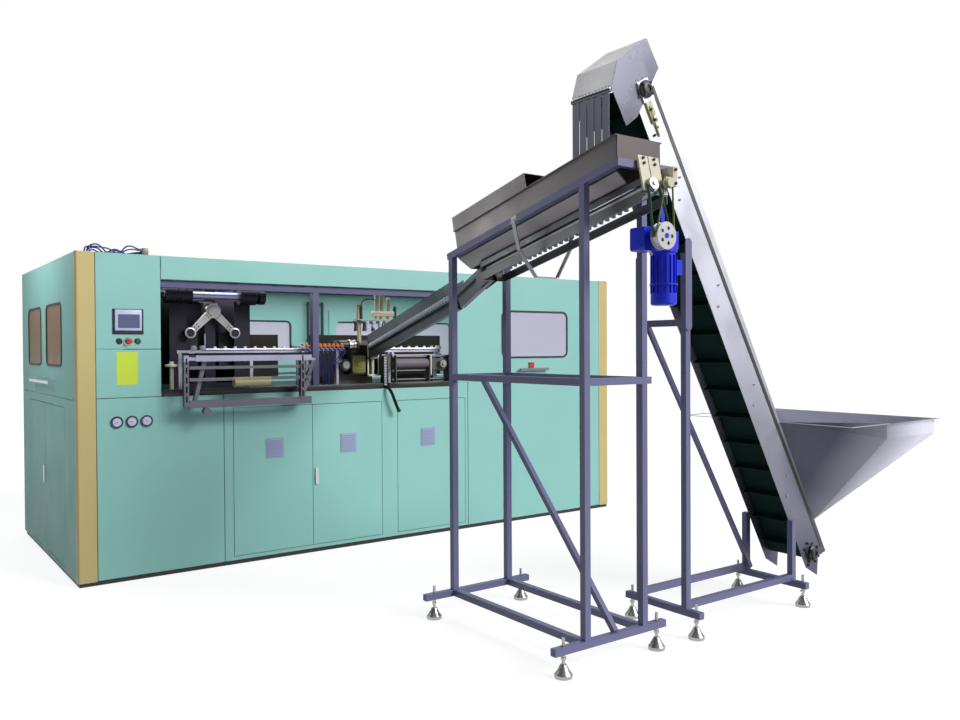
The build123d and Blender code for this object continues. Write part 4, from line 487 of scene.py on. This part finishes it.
mint_colour = (0.275, 0.575, 0.53)
grille_grey = (0.33, 0.38, 0.56)
bright_steel = (0.70, 0.70, 0.74)
rubber_black = (0.010, 0.010, 0.011)
front_plane = -1.0702
end_plane = -2.3952
no_limit = (None, None, None)
mint = enamel("mint_paint", mint_colour, roughness=0.36)
paint(mint, "roof_panel", "lintel_panel", "control_panel", "lower_front_panels")
end_mint = enamel("end_mint_paint", mint_colour, roughness=0.5)
paint(end_mint, "end_and_back_panels", "end_door_front")
door_paint = recolour(enamel("door_paint", mint_colour, roughness=0.36),
                      no_limit, (None, front_plane, None), grille_grey, roughness=0.5)
paint(door_paint, "door_left", "door_right")
latch_door = recolour(enamel("latch_door_paint", mint_colour, roughness=0.36),
                      no_limit, (None, front_plane, None), grille_grey, roughness=0.5)
recolour(latch_door, no_limit, (-0.6, front_plane, 0.66), bright_steel, metallic=1.0, roughness=0.25)
paint(latch_door, "door_mid")
end_door_paint = recolour(enamel("end_door_paint", mint_colour, roughness=0.5),
                          no_limit, (end_plane, None, None), bright_steel, metallic=1.0, roughness=0.25)
paint(end_door_paint, "end_door_back")
rear_paint = recolour(enamel("rear_door_paint", mint_colour, roughness=0.36),
                      no_limit, (None, 1.0102, None), rubber_black, roughness=0.45)
paint(rear_paint, "rear_door_left", "rear_door_right")
left_guard_paint = recolour(enamel("left_guard_paint", mint_colour, roughness=0.5),
                            no_limit, (end_plane, None, None), bright_steel, metallic=1.0, roughness=0.3)
paint(left_guard_paint, "left_guard")
for material in (end_mint, end_door_paint, left_guard_paint):
    material.node_tree.nodes["Principled BSDF"].inputs["Specular IOR Level"].default_value = 0.12
right_guard_paint = recolour(enamel("right_guard_paint", mint_colour, roughness=0.36),
                             no_limit, (None, front_plane, None), (0.20, 0.20, 0.24), metallic=0.6,
                             roughness=0.35)
recolour(right_guard_paint, (1.3, -1.085, 1.374), (1.5, front_plane, 1.5), (0.50, 0.016, 0.008), metallic=0.0,
         roughness=0.35)
paint(right_guard_paint, "right_guard")
paint(enamel("gold_paint", (0.58, 0.47, 0.20), roughness=0.38), "corner_strips")
paint(enamel("plinth_black", (0.012, 0.012, 0.014), roughness=0.55), "plinth")

# Windows: panes in black rubber profiles that grip the edge of each opening. The panes in the guards are
# tinted, and those of the rear doors are milky; the seals stand proud of the sheet.
window_paint = recolour(enamel("right_window_pane", (0.50, 0.50, 0.62), 0.14),
                        no_limit, (None, front_plane, None), rubber_black, roughness=0.5)
paint(window_paint, "right_window")
end_window_paint = recolour(enamel("end_window_pane", (0.25, 0.135, 0.04), 0.2),
                            no_limit, (end_plane, None, None), rubber_black, roughness=0.5)
paint(end_window_paint, "left_windows")


def rounded_sheet(name, centre, size, corner, thickness, turn, rim=0.0, edge=0.0):
    """A sheet with rounded corners, centred in mm, or a ring of it where rim is its width."""
    bpy.ops.object.select_all(action="DESELECT")
    bpy.ops.mesh.primitive_plane_add(size=1, location=(0, 0, 0))
    piece = bpy.context.object
    piece.name = name
    piece.scale = (size[0] / 1000, size[1] / 1000, 1)
    bpy.ops.object.transform_apply(location=True, rotation=True, scale=True)
    bpy.ops.object.mode_set(mode="EDIT")
    bpy.ops.mesh.select_all(action="SELECT")
    bpy.ops.mesh.bevel(offset=corner / 1000, offset_type="OFFSET", segments=8, affect="VERTICES")
    if rim:
        bpy.ops.mesh.select_all(action="SELECT")
        bpy.ops.mesh.inset(thickness=rim / 1000)
        bpy.ops.mesh.delete(type="FACE")
    bpy.ops.mesh.select_all(action="SELECT")
    bpy.ops.mesh.extrude_region_move(TRANSFORM_OT_translate={"value": (0, 0, thickness / 1000)})
    bpy.ops.mesh.select_all(action="SELECT")
    bpy.ops.mesh.normals_make_consistent(inside=False)
    bpy.ops.object.mode_set(mode="OBJECT")
    piece.rotation_euler = [radians(angle) for angle in turn]
    piece.location = spot(*centre)
    return finished(piece, edge)


facing_front = (90, 0, 0)
facing_back = (-90, 0, 0)
seal_rubber = enamel("seal_rubber", rubber_black, 0.5)
milky_pane = enamel("milky_pane", (0.62, 0.60, 0.72), 0.18)
for side, middle_x in (("left", 1693.5), ("right", 3638.5)):
    for face_y, turn, where, proud in ((2133, facing_front, "inside", 6),
                                       (2139.4, facing_back, "outside", 1.6)):
        seal = rounded_sheet(f"rear_seal_{side}_{where}", (middle_x, face_y, 1655), (1457, 378), 48,
                             proud, turn, rim=14, edge=0.5)
        mounted(seal, seal_rubber, f"rear_door_{side}")
        pane = rounded_sheet(f"rear_pane_{side}_{where}", (middle_x, face_y, 1655), (1432, 353), 36,
                             proud * 0.6, turn)
        mounted(pane, milky_pane, f"rear_door_{side}")

# Control panel: a touch screen in a dark bezel with three buttons under it, and a blank yellow card.
# The screen's glass lies behind a pale surround; each button sits in a ring on a plate.
paint(enamel("screen_bezel", (0.012, 0.020, 0.045), 0.3), "touch_panel")
screen_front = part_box("touch_panel")[0][1] * 1000 + front_mm
surround = rounded_sheet("screen_surround", (328, screen_front, 1753.5), (170, 139), 3, 1.2, facing_front,
                         edge=0.5)
mounted(surround, enamel("screen_surround", (0.56, 0.56, 0.80), 0.3))
screen_blue = enamel("screen_glass", (0.115, 0.135, 0.25), 0.12)
glass = rounded_sheet("screen_glass", (331, screen_front - 1.2, 1746), (140, 92), 1, 0.8, facing_front)
mounted(glass, screen_blue)
card_colour = enamel("card_yellow", (0.60, 0.76, 0.05), 0.6)
card = rounded_sheet("blank_card", (319, 0, 1430), (135, 220), 1, 1.0, facing_front)
mounted(card, card_colour)
silver_ring = brushed("button_ring_steel", bright_steel, 0.22)
paint(enamel("black_plastic", (0.012, 0.012, 0.012), 0.4), "black_button", "loader_grippers")
paint(enamel("red_plastic", (0.50, 0.035, 0.008), 0.3), "stop_button")
paint(enamel("green_plastic", (0.008, 0.11, 0.07), 0.3), "green_button")
rings = []
for name in ("black_button", "stop_button", "green_button"):
    low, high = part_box(name)
    middle = (low[0] + high[0]) * 500 + left_end_mm
    height = (low[2] + high[2]) * 500
    radius = (high[0] - low[0]) * 500
    rings.append(turned(f"{name}_ring", (middle, 0, height), (0, -1, 0),
                        [(radius + 8, 0), (radius + 8, 2), (radius + 6, 4), (radius + 1.2, 4),
                         (radius + 1.2, 0.4)]))
mounted(joined("button_rings", rings), silver_ring)

# Pressure gauges: three white dials in dark blue plastic rims, with a fine scale and a needle on a hub.
# The marks are small blocks turned about the dial's middle.
paint(enamel("gauge_bezel", (0.035, 0.045, 0.13), 0.3), "pressure_gauges")
gauge_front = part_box("pressure_gauges")[0][1] * 1000 + front_mm
gauge_height = 1072
dial_white = enamel("dial_white", (0.60, 0.60, 0.78), 0.3)
ink_black = enamel("scale_ink", (0.01, 0.01, 0.02), 0.5)
dials, marks = [], []
for x in (249, 345, 441):
    centre = spot(x, 0, gauge_height)
    dials.append(turned("dial", (x, gauge_front, gauge_height), (0, -1, 0),
                        [(28, -0.5), (28, 0.6), (27, 0.9)], 40))
    for step in range(11):
        angle = radians(225 - 27 * step)
        mark = block("mark", (x - 0.7, gauge_front - 1.5, 1070.5), (x + 0.7, gauge_front - 0.8, 1073.5),
                     edge=0.1)
        mark.matrix_world = (Matrix.Translation(centre + Vector((cos(angle), 0, sin(angle))) * 0.023)
                             @ Matrix.Rotation(pi / 2 - angle, 4, "Y") @ Matrix.Translation(-centre))
        marks.append(mark)
    needle = block("needle", (x - 0.9, gauge_front - 2.2, 1068), (x + 0.9, gauge_front - 1.4, 1092), edge=0.3)
    needle.matrix_world = (Matrix.Translation(centre) @ Matrix.Rotation(radians(-118 + (x - 249) / 3), 4, "Y")
                           @ Matrix.Translation(-centre))
    marks += [needle, turned("needle_hub", (x, gauge_front - 0.8, gauge_height), (0, -1, 0),
                             [(3.4, 0), (3.4, 2), (2.6, 2.6)], 16)]
mounted(joined("gauge_dials", dials), dial_white)
mounted(joined("gauge_marks", marks), ink_black)

# Tube frames: lavender grey powder coat on the inner frame, the trough frame and the elevator stand. The
# strap that carries the trough's near end is bare steel, and the machine bed is black.
lavender_colour = (0.14, 0.145, 0.275)
frame_paint = recolour(enamel("trough_frame_paint", lavender_colour, roughness=0.42),
                       (None, -3.585, 1.915), (None, -3.545, 2.30), (0.30, 0.30, 0.33), metallic=0.9,
                       roughness=0.35)
paint(frame_paint, "feed_frame")
paint(enamel("stand_paint", lavender_colour, roughness=0.42), "elevator_stand")
inner = recolour(enamel("inner_frame_paint", (0.085, 0.085, 0.18), roughness=0.45),
                 (None, None, 1.14), (None, None, 1.24), (0.006, 0.006, 0.007), roughness=0.4)
paint(inner, "inner_frame")

# Stainless sheet: brushed, with the rolling direction of each part and light smears. The elevator plates
# are the brightest; the trough is duller, and its roller guards are dark. The machined, cast, rubber and
# plastic parts of the lines and drives get their finish here too.
elevator_steel_and_painted_shade = brushed("elevator_steel_and_painted_shade", (0.68, 0.69, 0.79), 0.40, stretch=(1, 0.05, 0.05), metallic=0.6)
# Painted shade: the elevator plates turn dark towards the floor, where their reflection dims.
painted_light_gradient(elevator_steel_and_painted_shade, "Z", 1.9, 0.25, (0.09, 0.09, 0.14))
# Painted shade: the near plate's outward lip is painted near black.
recolour(elevator_steel_and_painted_shade, no_limit, (None, -4.0440, None), (0.02, 0.02, 0.024), metallic=0.3)
paint(elevator_steel_and_painted_shade, "elevator_sides")
paint(brushed("chute_steel", (0.16, 0.16, 0.18), 0.35, stretch=(1, 0.05, 0.05)), "chute")
trough_steel = brushed("trough_steel", (0.24, 0.225, 0.23), 0.38, stretch=(1, 0.05, 1))
recolour(trough_steel, no_limit, (None, -4.262, None), (0.095, 0.085, 0.085))
paint(trough_steel, "trough")
paint(brushed("roller_guard_steel", (0.20, 0.21, 0.22), 0.34, stretch=(1, 0.05, 1)), "roller_carrier")
hopper_steel = brushed("hopper_steel", (0.09, 0.09, 0.13), 0.42, stretch=(0.2, 1, 1), metallic=0.7)
# Painted highlight: the hopper's steel turns from dark to bright towards +X.
paint(painted_light_gradient(hopper_steel, "X", 1.15, 1.75, (0.80, 0.80, 0.92)), "hopper")
hood_steel_and_painted_shade = brushed("hood_steel_and_painted_shade", (0.90, 0.90, 0.94), 0.25, stretch=(1, 0.1, 1), metallic=0.3)
# Painted shade: the hood's near cheek is painted dark grey against its bright front.
paint(recolour(hood_steel_and_painted_shade, no_limit, (None, -4.0205, None), (0.16, 0.16, 0.21), metallic=0.5), "hood")
paint(brushed("machined_steel", (0.50, 0.49, 0.48), 0.3),
      "crosshead", "link_left", "link_right", "levelling_feet")
paint(brushed("drive_iron", (0.10, 0.10, 0.095), 0.4), "infeed_drive", "roller_frame")
rack_metal = recolour(brushed("rack_aluminium", (0.17, 0.17, 0.20), 0.42), (None, None, 1.514), no_limit,
                      (0.02, 0.02, 0.024))
recolour(rack_metal, (-1.40, -1.24, 1.28), (-1.12, -1.15, 1.36), (0.30, 0.28, 0.16), metallic=0.1,
         roughness=0.5)
recolour(rack_metal, (None, None, 1.47), (None, None, 1.512), (0.34, 0.34, 0.46))
paint(rack_metal, "discharge_rack")
paint(brushed("rail_aluminium", (0.50, 0.50, 0.62), 0.35), "transfer_rail")
paint(brushed("column_beige", (0.42, 0.38, 0.27), 0.42, metallic=0.3), "loader_column")
paint(brushed("drum_steel", (0.35, 0.35, 0.38), 0.35),
      "roller_left", "roller_right", "head_drum", "tail_drum")
paint(brushed("pulley_grey", (0.55, 0.55, 0.56), 0.4, metallic=0.5), "motor_pulley")
paint(brushed("oven_sheet", (0.055, 0.048, 0.042), 0.5), "ovens")
paint(brushed("dark_platen", (0.018, 0.018, 0.032), 0.42, metallic=0.6), "left_platen", "right_platen")
tie_bar = recolour(brushed("clamp_iron", (0.018, 0.018, 0.032), 0.42, metallic=0.6), (-1.745, None, 1.925),
                   (-1.045, -0.73, 1.985), (0.40, 0.40, 0.60), metallic=0.8, roughness=0.38)
paint(tie_bar, "clamp_base")
paint(enamel("cream_paint", (0.60, 0.57, 0.42), 0.45), "bearing_plates")
paint(enamel("motor_blue", (0.004, 0.022, 0.72), 0.34), "gear_motor")
belt_green = enamel("belt_green", (0.001, 0.018, 0.015), 0.7)
belt_green.node_tree.nodes["Principled BSDF"].inputs["Specular IOR Level"].default_value = 0.12
paint(belt_green, "cleated_belt")
belts = recolour(enamel("drive_belt", (0.010, 0.060, 0.045), 0.6),
                 no_limit, (None, -4.4025, None), (0.20, 0.26, 0.06))
paint(belts, "drive_belts")
paint(enamel("roller_rubber", (0.12, 0.10, 0.13), 0.6), "feed_roller")
paint(enamel("preform_plastic", (0.42, 0.46, 0.55), 0.2), "preforms")
paint(enamel("strip_plastic", (0.20, 0.21, 0.26), 0.2), "strip_curtain")

# Clamp details: cap screws hold the toggle links' steel bearing rings, four dark screws face the left
# platen's boss, and a cream adjusting disc stands on a post from the bed beside the first spindles.
steel = brushed("fastener_steel", (0.55, 0.54, 0.52), 0.28)
dark_screw_and_hole_shade = enamel("blackened_screw_and_hole_shade", (0.014, 0.014, 0.016), 0.4)
pale_cream = enamel("pale_cream", (0.62, 0.60, 0.50), 0.45)
white_plastic = enamel("white_plastic", (0.66, 0.66, 0.74), 0.3)


def link_screws(name, centre, along_x, along_z, face_y, reaches):
    """Screws in pairs along a link, at the given reaches in mm from its pin."""
    places = []
    for reach in reaches:
        for side in (-10, 10):
            places.append((centre[0] + along_x * reach - along_z * side, face_y,
                           centre[1] + along_z * reach + along_x * side))
    return screws(name, places, (0, -1, 0), 9, 5, hexagon=False)


for link, foot, face_y in (("link_left", (859, 1680), 366.7), ("link_right", (1203, 1680), 385.3)):
    along = Vector((1031 - foot[0], 0, 1846 - foot[1])).normalized()
    mounted(link_screws(f"{link}_screws", foot, along.x, along.z, face_y, (50, 74, 176, 198)),
            dark_screw_and_hole_shade, link)
    ring = turned(f"{link}_ring", (foot[0], face_y, foot[1]), (0, -1, 0),
                  [(36, -0.5), (36, 1.2), (34, 2.2), (29, 2.2), (28, 0.4)], 40)
    hub = turned(f"{link}_hub", (foot[0], face_y + 8, foot[1]), (0, -1, 0),
                 [(22, 0), (22, 5), (15, 7), (8, 7), (7, 3)], 32)
    mounted(joined(f"{link}_bearing", [ring, hub]), steel, link)
top_ring = turned("toggle_pin_ring", (1031, 361, 1846), (0, -1, 0),
                  [(38, -0.5), (38, 1.2), (36, 2.0), (27, 2.0), (26, 0.6), (12, 0.6), (11, 2.6),
                   (5, 3.0)], 40)
mounted(top_ring, steel, "crosshead")

disc = turned("cream_disc", (679, 235, 1234), (0, 0, 1),
              [(15, 0), (15, 196), (44, 197), (46, 199), (46, 211), (42, 214), (18, 215), (16, 236)], 40)
mounted(disc, pale_cream)
head_screws = screws("boss_screws", [(710 + 30 * i, 266.5, 1955 + 38 * ((i % 2) * 2 - 1)) for i in range(4)],
                     (0, -1, 0), 13, 8)
mounted(head_screws, dark_screw_and_hole_shade, "left_platen")

# Lintel beam: three oblong holes in the tube's front face let the wiring through. Their dark inside is
# painted shade: each is a thin dark sheet with rounded corners on the face.
hole_shade_sheets = [rounded_sheet("hole_shade_sheet", ((x0 + x1) / 2, 24.9, 2030), (x1 - x0, 12), 5, 0.4, facing_front)
              for x0, x1 in ((1020, 1094), (1353, 1400), (1520, 1618))]
mounted(joined("hole_shade_sheets", hole_shade_sheets), dark_screw_and_hole_shade)

# Spindle line: white caps stand on the bar at even steps, joined by a pale rail, with steel lock nuts at
# both ends. The second line behind the chute has the same caps.
spindle_pitch = 76.2
cap = [(13.5, -6), (17, -5), (17, 12), (14, 15), (11, 16), (11, 26), (8, 28)]
for name, first, count in (("transfer_caps", 979, 8), ("infeed_caps", 2410, 7)):
    caps = repeated(name, turned(name, (first, 190, 1548), (0, 0, 1), cap, 20),
                    [(spindle_pitch * i, 0, 0) for i in range(1, count)])
    mounted(caps, white_plastic)
rods = [turned("rod", (x, 172, 1554), (1, 0, 0), [(7, 0), (8, 1), (8, long - 1), (7, long)], 20)
        for x, long in ((905, 745), (2400, 520))]
mounted(joined("spindle_rail", rods), brushed("rod_lavender", (0.60, 0.60, 0.78), 0.3, metallic=0.6))
nuts = screws("lock_nuts", [(819, 190, 1548), (885, 190, 1548), (1600, 190, 1548), (2936, 190, 1548)],
              (0, 0, 1), 52, 30)
mounted(nuts, steel)
end_cap = turned("line_end_cap", (1640, 190, 1566), (1, 0, 0.1),
                 [(14, 0), (17, 3), (17, 34), (13, 40), (7, 42)], 24)
mounted(end_cap, white_plastic)

# Valve row: push-in fittings stand on the valves between the two lines, an orange collar and a blue plastic
# elbow on each, and a blue air hose leads down from each to a bundle that goes through the bed.
fitting_blue = enamel("fitting_blue", (0.01, 0.04, 0.34), 0.35)
fitting_orange = enamel("fitting_orange", (0.62, 0.15, 0.02), 0.35)
valve_step = 38
valve_places = [1668 + valve_step * i for i in range(10)]
valve_steps = [(valve_step * i, 0, 0) for i in range(1, 10)]
collar = turned("valve_collars", (valve_places[0], 190, 1568), (0, 0, 1),
                [(15, 0), (15, 14), (12, 17), (12, 26), (8, 28)], 16)
mounted(repeated("valve_collars", collar, valve_steps), fitting_orange)
elbow = turned("valve_elbows", (valve_places[0], 183, 1562), (0, -1, -0.5),
               [(8, 0), (8, 18), (10, 19), (10, 32), (6, 36)], 14)
mounted(repeated("valve_elbows", elbow, valve_steps), fitting_blue)
for i, x in enumerate(valve_places):
    target_x = 1815 + 8.5 * i
    route = [(x, 150, 1548), (x, 134, 1528), (x + (target_x - x) * 0.25, 128, 1490),
             (x + (target_x - x) * 0.8, 132 + 6 * (i % 3), 1430), (target_x, 138 + 10 * (i % 3), 1370),
             (target_x, 138 + 10 * (i % 3), 1300), (target_x, 140 + 10 * (i % 3), 1236)]
    line = mounted(hose(f"valve_hose_{i}", route, 8), air_hose_blue)
    hose_length(line)

# Infeed drive: a geared motor with a white ring on its fan cover, a brass-coloured gearbox, a black drum
# with a bright ring, and an open bracket with cream edges. The cable chain's links lie on the chain, and a
# grey base plate and the bed's black front edge lie along the bed.
olive_brass = brushed("olive_brass", (0.20, 0.19, 0.06), 0.42, metallic=0.6)
ring = turned("fan_ring", (2028, 155, 1424), (0, -1, 0),
              [(30, -0.4), (30, 5), (27, 8), (18, 8), (16, 4), (10, 4), (9, 9), (5, 10)], 36)
mounted(ring, brushed("ring_white", (0.78, 0.78, 0.82), 0.3, metallic=0.4))
box = block("infeed_gearbox", (2086, 158, 1352), (2212, 191, 1498), edge=9, segments=3)
cover = turned("gearbox_cover", (2145, 172, 1425), (0, -1, 0),
               [(44, -0.5), (44, 8), (40, 11), (20, 12), (18, 20), (8, 21)], 36)
bolts = screws("gearbox_bolts", [(2098, 158, 1366), (2200, 158, 1366), (2098, 158, 1484), (2200, 158, 1484)],
               (0, -1, 0), 12, 7)
mounted(joined("infeed_gearbox", [box, cover, bolts]), olive_brass)
drum = turned("infeed_drum", (2006, 240, 1585), (1, 0, 0), [(35, 0), (36, 3), (36, 76), (33, 80)], 36)
mounted(drum, dark_screw_and_hole_shade)
drum_ring = turned("infeed_drum_ring", (2087, 240, 1585), (1, 0, 0),
                   [(40, 0), (44, 2), (44, 18), (41, 20), (34, 20), (34, 44), (42, 46), (42, 60),
                    (38, 63)], 36)
mounted(drum_ring, steel)
edges = [block("edge", (x, 166, 1332), (x + 13, 170, 1588), edge=1) for x in (2229.5, 2324.5)]
edges.append(block("edge", (2229, 166, 1330), (2338, 170, 1345), edge=1))
edges.append(block("edge", (2271, 168, 1343), (2291, 200, 1500), edge=1))
mounted(joined("bracket_edges", edges), pale_cream)
chain_links = [block("link", (2340, 89, 1250 + 22 * i), (2365, 93, 1266 + 22 * i), edge=1) for i in range(11)]
chain_grey = brushed("chain_grey", (0.30, 0.30, 0.36), 0.4, metallic=0.5)
mounted(joined("cable_chain_links", chain_links), chain_grey)
base_plate = block("infeed_base", (1994, 150, 1234.5), (2340, 168, 1252), edge=1.5)
mounted(base_plate, brushed("base_grey", (0.34, 0.34, 0.34), 0.4))
bed_edges = [block("bed_edge", (x0, -3, 1234), (x1, 20, 1278), edge=1.5)
             for x0, x1 in ((547, 2278), (2334, 2980))]
bed_black = enamel("bed_black", (0.006, 0.006, 0.008), 0.35)
mounted(joined("bed_edge", bed_edges), bed_black)

# Feed roller unit: a cream painted end cheek, steel hexagon nuts on the stay bars, and a round grey valve,
# turned in steps, at the right end.
cheek = block("roller_cheek", (2774, 62, 1330), (2786, 150, 1500), edge=2)
mounted(cheek, pale_cream)
valve = turned("end_valve", (2900, 90.5, 1424), (0, -1, 0),
               [(34, 0), (34, 34), (30, 38), (16, 38), (14, 48), (6, 49)], 28)
mounted(valve, brushed("valve_grey", (0.28, 0.28, 0.24), 0.4))
stay_nuts = screws("stay_nuts", [(2440, 110, 1370), (2440, 110, 1296), (2440, 110, 1486)], (-1, 0, 0), 24, 12)
mounted(stay_nuts, steel)

# Loader: cream cylinder tops and their manifold above the plate, black guides at its ends, milky plastic
# gripper cones below it, and a black air hose that arches between the cylinders.
tops = [turned("cylinder_top", (x, 235, top), (0, 0, 1), [(19, 0), (19, 10), (16, 12), (6, 13), (6, 22)], 24)
        for x, top in ((2352, 1993), (2400, 1993), (2466, 1963))]
tops.append(block("manifold", (2318, 206, 1844.5), (2509, 262, 1866), edge=3))
mounted(joined("loader_cylinder_tops", tops), pale_cream)
guides = [turned("guide", (x, 235, 1798), (0, 0, 1), [(15, 0), (15, 104), (11, 108)], 20)
          for x in (2206, 2528)]
mounted(joined("loader_guides", guides), dark_screw_and_hole_shade)
cones = repeated("gripper_cones", turned("gripper_cones", (2260, 235, 1782), (0, 0, -1),
                                         [(22, 0), (22, 18), (17, 24), (15, 60), (10, 70)], 20),
                 [(62 * i, 0, 0) for i in range(1, 5)])
mounted(cones, enamel("gripper_milky", (0.52, 0.54, 0.72), 0.3), "loader_grippers")
arch = [(2206, 228, 1900), (2208, 228, 1936), (2246, 226, 1962), (2300, 226, 1966), (2330, 232, 1962)]
arch_hose = mounted(hose("loader_hose", arch, 10), conduit_black)
hose_length(arch_hose)

# Chute details: the bottle blanks' pale plastic neck rings show as a bright row beside the chute, between
# two folded steel edges that run along it.
chute_start, chute_end = Vector((1846, -1708, 1867)), Vector((2259, 148, 1558))
chute_way = chute_end - chute_start
ring_start, ring_step = 0.03, 0.0259
beside = chute_way.cross(Vector((0, 0, 1))).normalized() * -1
ring_places = [chute_start + chute_way * (ring_start + i * ring_step) + beside * 38 + Vector((0, 0, 11))
               for i in range(37)]
neck_ring = turned("chute_neck_rings", ring_places[0], beside, [(16, -5), (16, 3), (12, 7), (5, 8)], 12)
ring_steps = [tuple(place - ring_places[0]) for place in ring_places[1:]]
mounted(repeated("chute_neck_rings", neck_ring, ring_steps),
        enamel("neck_ring_plastic", (0.62, 0.64, 0.72), 0.2))


def laid(name, start, end, width, depth, edge=1.0):
    """A bar laid from one place to another in mm, width in the upright plane, depth across it."""
    start, end = Vector(start), Vector(end)
    way = end - start
    bpy.ops.object.select_all(action="DESELECT")
    bpy.ops.mesh.primitive_cube_add(size=1, location=spot(*((start + end) / 2)))
    piece = bpy.context.object
    piece.name = name
    piece.rotation_euler = way.to_track_quat("X", "Z").to_euler()
    piece.scale = (way.length / 1000, depth / 1000, width / 1000)
    return finished(piece, edge)


edges = []
for rise in (-8, 27):
    offset = beside * 35 + Vector((0, 0, rise))
    edges.append(laid("edge", chute_start + offset, chute_end + offset, 5, 4))
mounted(joined("chute_edges", edges), brushed("chute_edge_steel", (0.36, 0.36, 0.40), 0.3))

# Elevator head and tail: cast flange bearings are bolted to the plates, the head's pair beside take-up screws
# on olive brackets, and a dark strip lies along the plates' upper edge. Steel bolts in pairs hold the near
# plate.
cast_dark = enamel("bearing_casting", (0.018, 0.018, 0.022), 0.4, peel=0.25)
olive_plate = brushed("takeup_bracket", (0.42, 0.42, 0.16), 0.45, metallic=0.3)
near_face, far_face = -2950, -2660
plate_slope = 1.7603
housing = [(46, 0), (46, 12), (40, 16), (34, 18), (34, 24), (28, 27), (17, 27), (16, 20)]
bearing_parts, bracket_parts, bolt_places = [], [], []
for face_y, outward in ((near_face, -1), (far_face, 1)):
    for x, z in ((2148, 2879), (3629, 272)):
        bearing_parts.append(turned("housing", (x, face_y + outward * 9, z), (0, outward, 0), housing, 32))
        for turn in (60, 150, 240, 330):
            bolt_places.append((x + 38 * cos(radians(turn)), face_y + outward * 25,
                                z + 38 * sin(radians(turn)), outward))
    bracket_y = face_y + outward * 6
    bracket_parts.append(laid("bracket", (2166, bracket_y, 2830), (2228, bracket_y, 2722), 44, 10))
    bracket_parts.append(laid("screw", (2178, face_y + outward * 12, 2800),
                              (2262, face_y + outward * 4, 2654), 9, 9, 3))
    for x, z in ((2186, 2782), (2214, 2733)):
        bolt_places.append((x, face_y + outward * 11, z, outward))
    for x, z in ((2244, 2700), (2226, 2656), (3586, 335), (3560, 300), (3600, 200), (3672, 214), (3690, 300)):
        bolt_places.append((x, face_y, z, outward))
mounted(joined("elevator_bearings", bearing_parts), cast_dark)
mounted(joined("takeup_brackets", bracket_parts), olive_plate)
bolts_by_side = [screws("bolts", [place[:3] for place in bolt_places if place[3] == way], (0, way, 0), 16, 11)
                 for way in (-1, 1)]
mounted(joined("elevator_bolts", bolts_by_side), dark_screw_and_hole_shade)
strips = [laid("strip", (2210, y, 2908), (3742, y, 300), 26, 2.4) for y in (near_face - 0.9, far_face + 0.9)]
mounted(joined("elevator_edge_strips", strips), enamel("edge_strip_brown", (0.035, 0.030, 0.028), 0.5))
plate_bolts = screws("plate_bolts", [(x, near_face, 2879 - (x - 2148) * plate_slope + rise) for x in
                                     (2420, 2740, 3060, 3380) for rise in (60, -60)], (0, -1, 0), 15, 7)
mounted(plate_bolts, steel)

# Hood: twelve round-headed rivets stand in a row above the strip curtain's bar, which runs along the
# hood's lower lip. Both are polished steel.
rivets = screws("hood_rivets", [(1913.5, -2936 + 24 * i, 2860) for i in range(12)], (-1, 0, 0), 11, 4,
                hexagon=False)
lip = block("curtain_bar", (1905, -2948, 2838), (1913, -2662, 2850), edge=1.5)
mounted(joined("hood_rivets", [rivets, lip]), brushed("polished_lip", (0.86, 0.86, 0.90), 0.15))

# Drive: dark hexagon bolts on the cream bearing plates and their bracket, square to each one's face, and
# two blue collars round the motor's fan cover.
plate_face = ((-3276.4, 2425), (-3282.1, 2400))
plate_outward = (0, -0.976, 0.22)
plate_screws = screws("plate_screws", [(x, y, z) for x in (1791, 1862) for y, z in plate_face], plate_outward,
                      15, 9)
bracket_screws = screws("bracket_screws", [(1950, -3331, 2380), (1950, -3331, 2316)], (0, -1, 0), 15, 9)
mounted(joined("drive_bolts", [plate_screws, bracket_screws]), dark_screw_and_hole_shade)
collars = [turned("collar", (1992, -3220, z), (0, 0, 1), [(r - 4, 0), (r, 2), (r, 10), (r - 4, 12)], 48)
           for z, r in ((1778, 62), (1846, 67))]
mounted(joined("motor_collars", collars), enamel("motor_collar_blue", (0.006, 0.03, 0.50), 0.25))

# Hopper: its sheet steel rim is folded outwards into a flat bright flange, a ring of sheet laid on the
# hopper's upper edge.
rim = rounded_sheet("hopper_rim", (3811, -2805, 1097), (992, 1204), 4, 3, (0, 0, 0), rim=16)
mounted(rim, brushed("rim_steel", (0.60, 0.60, 0.66), 0.3))

bpy.context.view_layer.update()
